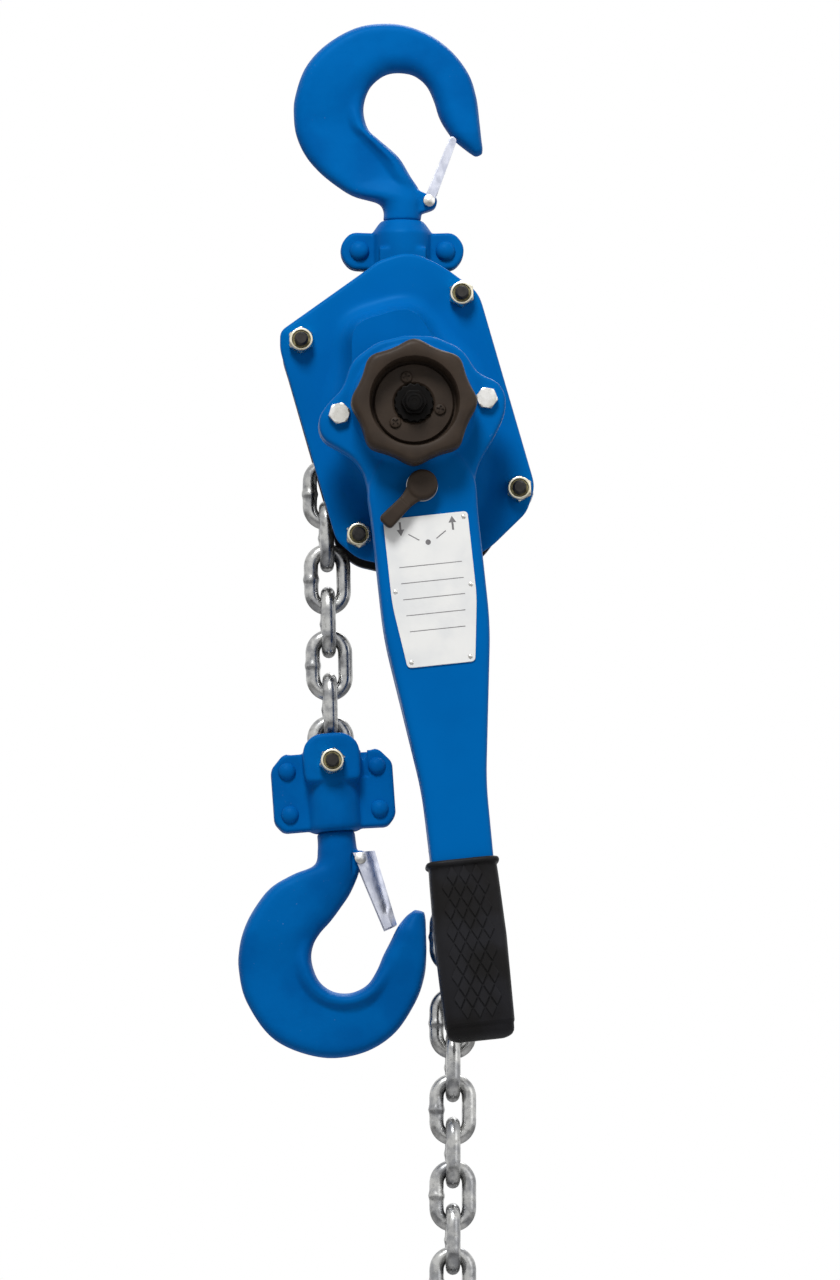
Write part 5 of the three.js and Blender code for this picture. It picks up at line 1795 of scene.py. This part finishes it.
# ---------------------------------------------------------------- hand wheel
@dataclass
class HandWheel:
    """The lobed hand wheel with its screwed disc and shaft nut."""

    place: Place
    tools: Tools
    r: float = 33.2
    lobe: float = 1.4
    lobe_point: float = 0.15
    lobes: int = 8
    front: float = -98.0
    back: float = -80.0
    cup: float = 24.6
    floor: float = -83.2
    bore: float = 7.3
    screws: Sequence[float] = (106, -13.5, -133.5)
    screw_at: float = 14.9
    teeth: int = 16

    def _rim(self, radius: float, angle: float) -> float:
        """The lobed reach of a point near the rim."""
        share = smoothstep(radius, self.cup + 1, self.r)
        wave = math.cos(math.radians(self.lobes * (angle - 90)))
        return radius + share * (
            self.lobe * wave + self.lobe_point * math.cos(math.radians(2 * self.lobes * (angle - 90)))
        )

    def build(self) -> list[bpy.types.Object]:
        """Makes the wheel, its disc, the screws and the nut."""
        r, f, b, cup, floor = self.r, self.front, self.back, self.cup, self.floor
        section = [
            (self.bore, b), (r - 5, b), (r - 1.6, b), (r - 0.5, b - 0.5), (r, b - 1.6), (r, f + 3.6),
            (r - 0.25, f + 2.4),
            (r - 1.0, f + 1.1), (r - 1.9, f + 0.35), (r - 3.0, f), (cup + 1.6, f), (cup + 0.5, f + 0.3),
            (cup, f + 1.2),
            (cup - 0.4, floor - 2), (cup - 1.2, floor - 0.6), (cup - 2.4, floor), (12, floor),
            (self.bore, floor),
        ]
        wheel = Solid.turned(section, 256, self._rim).object("hand_wheel", self.place)
        disc = [
            (11, floor - 0.3), (21.6, floor - 0.3), (22, floor - 0.8), (22, floor - 2.0), (21.4, floor - 2.6),
            (12, floor - 2.6), (11, floor - 1.9),
        ]
        plate = Solid.turned(disc, 96).object("wheel_disc", self.place)
        head = Solid.turned([(AXIS, 0), (3.3, 0), (3.3, -0.7), (2.7, -1.35), (1.6, -1.6), (AXIS, -1.6)], 32)
        wide, thin = (-2.1, 2.1), (-0.55, 0.55)
        cross = [Solid.box(*across, -2.4, -0.7, *along) for across, along in ((thin, wide), (wide, thin))]
        one = Bench.shape("wheel_screw_one", Place(), [head], cross)
        points = np.array([v.co for v in one.data.vertices]) / MM
        faces = [tuple(p.vertices) for p in one.data.polygons]
        bpy.data.objects.remove(one)
        places = [(a, *polar(self.screw_at, a)) for a in self.screws]
        spots = [Spot((x, floor - 2.55, z), (0, a, 0)) for a, x, z in places]
        screws = self.tools.copies.repeat(
            "wheel_screws", self.place, [Solid(points, faces)], spots, Finishes.WHEEL,
        )
        spline = [polar(11.0 if k % 2 else 9.9, 180 * k / self.teeth) for k in range(2 * self.teeth)]
        flats = rounded([(x, z, 1.5) for x, z in hexagon(7.6)], 3)
        nut = Bench.shape(
            "wheel_shaft_nut", self.place,
            [
                Solid.plate(spline, floor - 4.4, floor - 0.3, 0.3, 2),
                Solid.plate(flats, -92.4, floor - 2, 0.6, 3),
            ],
            [Solid.rod(5.35, -FAR, -80)],
        )
        cap = [
            (AXIS, -85.6), (5.3, -85.6), (5.3, -94.9), (4.6, -95.5), (3.4, -95.6), (3.2, -95.3), (1.5, -95.3),
            (1.2, -95.1), (AXIS, -95.1),
        ]
        end = Solid.turned(cap, 40).object("drive_shaft_end", self.place)
        return [wheel, plate, screws, nut, end]

    def dress(self) -> None:
        """Builds the pieces and gives each its finish and body."""
        wheel, plate, screws, nut, end = self.build()
        hand_over(Finishes.WHEEL.on(wheel, 28), "drive", "wheel_black", "handwheel")
        hand_over(Finishes.WHEEL.on(plate, 28), "drive", "wheel_black", "handwheel_disc")
        hand_over(screws, "drive", "wheel_black")
        hand_over(Finishes.SPLINE.on(nut, 28), "drive", "wheel_black", "shaft_nut")
        hand_over(Finishes.SPLINE.on(end, 28), "drive", "machined_steel")


# ---------------------------------------------------------------- inner works
@dataclass
class Works:
    """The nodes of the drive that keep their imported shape."""

    nodes: dict[str, bpy.types.Object]
    linings: Sequence[str] = ("friction_disc_inner", "friction_disc_outer")
    oiled: Sequence[str] = ("drive_shaft",)

    def _finish(self, name: str) -> Finishes:
        """The finish of one node."""
        if name in self.linings:
            return Finishes.LINING
        return Finishes.SPLINE if name in self.oiled else Finishes.MACHINED

    def dress(self) -> None:
        """Finishes every node that is still shown."""
        for name, node in self.nodes.items():
            if node.hide_render:
                continue
            finish = self._finish(name)
            finish.over(node)
            LOG.info("%s: dressed as %s", name, finish.name)


# ---------------------------------------------------------------- studio
@dataclass
class Studio:
    """The camera, the lamps, the white surround and the floor."""

    hub: Vector
    azimuth: float = -1.9
    elevation: float = -6.1
    distance: float = 10.0
    scale: float = 1.8125
    hub_at: tuple[float, float] = (-5.4, 239.6)
    tall: float = 1280.0
    front: float = -0.098
    sensor: float = 36.0
    ambient: float = 0.26
    floor_half: float = 12.0
    floor_drop: float = 1.2
    floor_white: float = 0.7

    def camera(self) -> None:
        """Sets the camera on the line of sight, so that the hub comes where it should."""
        a, e = math.radians(self.azimuth), math.radians(self.elevation)
        back = Vector((math.sin(a) * math.cos(e), -math.cos(a) * math.cos(e), math.sin(e)))
        right = Vector((math.cos(a), math.sin(a), 0))
        up = back.cross(right)
        focal = self.scale / MM * self.distance
        data = bpy.data.cameras.new("camera")
        data.sensor_width, data.lens = self.sensor, focal * self.sensor / self.tall
        data.clip_start, data.clip_end = 0.05, 50
        made = bpy.data.objects.new("camera", data)
        hub = Vector((self.hub.x, self.front, self.hub.z))
        aside, above = (v * self.distance / focal for v in self.hub_at)
        made.location = hub + back * self.distance - right * aside - up * above
        made.rotation_mode = "QUATERNION"
        made.rotation_quaternion = Matrix((right, up, back)).transposed().to_quaternion()
        bpy.context.scene.collection.objects.link(made)
        bpy.context.scene.camera = made

    def _lamp(self, name: str, at: tuple[float, float, float], size: float, power: float) -> None:
        """One soft square lamp that looks at the hub."""
        data = bpy.data.lights.new(name, "AREA")
        data.size, data.energy = size, power
        made = bpy.data.objects.new(name, data)
        made.location = at
        made.rotation_mode = "QUATERNION"
        made.rotation_quaternion = (Vector(at) - self.hub).to_track_quat("Z", "Y")
        bpy.context.scene.collection.objects.link(made)

    def world(self) -> None:
        """A white surround for the camera and for reflections, and a plain level for the object."""
        world = bpy.data.worlds.new("surround")
        bpy.context.scene.world = world
        world.use_nodes = True
        world.node_tree.nodes.clear()
        g = Graph(world.node_tree)
        rays = [
            g.node("ShaderNodeLightPath", output=o)
            for o in ("Is Camera Ray", "Is Glossy Ray", "Is Transmission Ray")
        ]
        seen = g.node("ShaderNodeMath", {"operation": "MINIMUM"}, {0: rays[0] + rays[1] + rays[2], 1: 1.0})
        sky = g.node(
            "ShaderNodeBackground", {},
            {"Color": (1, 1, 1, 1), "Strength": seen * (1 - self.ambient) + self.ambient},
        )
        g.node("ShaderNodeOutputWorld", {}, {"Surface": sky})

    def floor(self, low: float) -> None:
        """A wide pale floor below the object, white to the camera but for the shadow."""
        mesh = bpy.data.meshes.new("studio_floor")
        w = self.floor_half
        mesh.from_pydata([(-w, -w, low), (w, -w, low), (w, w, low), (-w, w, low)], [], [(0, 1, 2, 3)])
        made = bpy.data.objects.new("studio_floor", mesh)
        material = bpy.data.materials.new("pale_floor")
        material.use_nodes = True
        material.node_tree.nodes.clear()
        g = Graph(material.node_tree)
        pale = g.node("ShaderNodeBsdfDiffuse", {}, {"Color": (0.85, 0.85, 0.86, 1)})
        white = g.node("ShaderNodeEmission", {}, {"Color": (1, 1, 1, 1), "Strength": 1.0})
        ray = g.node("ShaderNodeLightPath", output="Is Camera Ray")
        mixed = g.node("ShaderNodeMixShader", {}, {0: ray * self.floor_white, 1: pale, 2: white})
        under = g.node("ShaderNodeNewGeometry", output="Backfacing")
        clear = g.node("ShaderNodeBsdfTransparent")
        g.node(
            "ShaderNodeOutputMaterial", {},
            {"Surface": g.node("ShaderNodeMixShader", {}, {0: under, 1: mixed, 2: clear})},
        )
        mesh.materials.append(material)
        bpy.context.scene.collection.objects.link(made)
        made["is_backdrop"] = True

    def build(self, low: float) -> None:
        """Makes the whole studio, with its floor well below the object's lowest point."""
        self.camera()
        self.world()
        self.floor(low - self.floor_drop)
        self._lamp("key", (-0.45, -1.95, 1.85), size=0.9, power=74)
        self._lamp("fill", (1.8, -1.6, 0.2), size=1.6, power=8)
        self._lamp("rear", (0.4, 1.6, 1.6), size=1.4, power=26)
        bpy.context.scene.view_settings.view_transform = "Standard"


def main() -> None:
    """Builds the hoist around its frame, sub-assembly by sub-assembly."""
    logging.basicConfig(level=logging.INFO, format="%(name)s %(message)s")
    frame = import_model()
    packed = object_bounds()
    layout = Layout.of(frame)
    Studio(Vector((layout.hub.x, 0, layout.hub.z)) * MM).build(packed[0].z)
    tools = Tools()
    drop = layout.joints["frame_swing"][1] - layout.joints["top_hook_swivel"][1]
    Hook(
        End.TOP, layout.top, TOP_STATIONS, pivot=(14.8, 27), tip=(27.4, 60.5), shank=(0, 18), swing=26,
        groove=(0.1, 0.2, 0.36, 0.5),
    ).dress()
    TopYoke(layout.top, tools, drop).dress()
    Housing(layout.body, tools, layout.joints["frame_swing"]).dress()
    Chain(layout.hub, tools, layout.run_turn).dress()
    Lever(layout.lever, tools).dress()
    HandWheel(layout.hub, tools).dress()
    BottomYoke(layout.block, tools).dress()
    Hook(
        End.BOTTOM, layout.block, LOW_STATIONS, pivot=(12.3, -54), tip=(25.7, -91.5), shank=(-42, -25),
        swing=-23,
        groove=(0.3, 0.48, 0.66, 0.82),
    ).dress()
    Works(frame["nodes"]).dress()


if __name__ == "__main__":
    main()
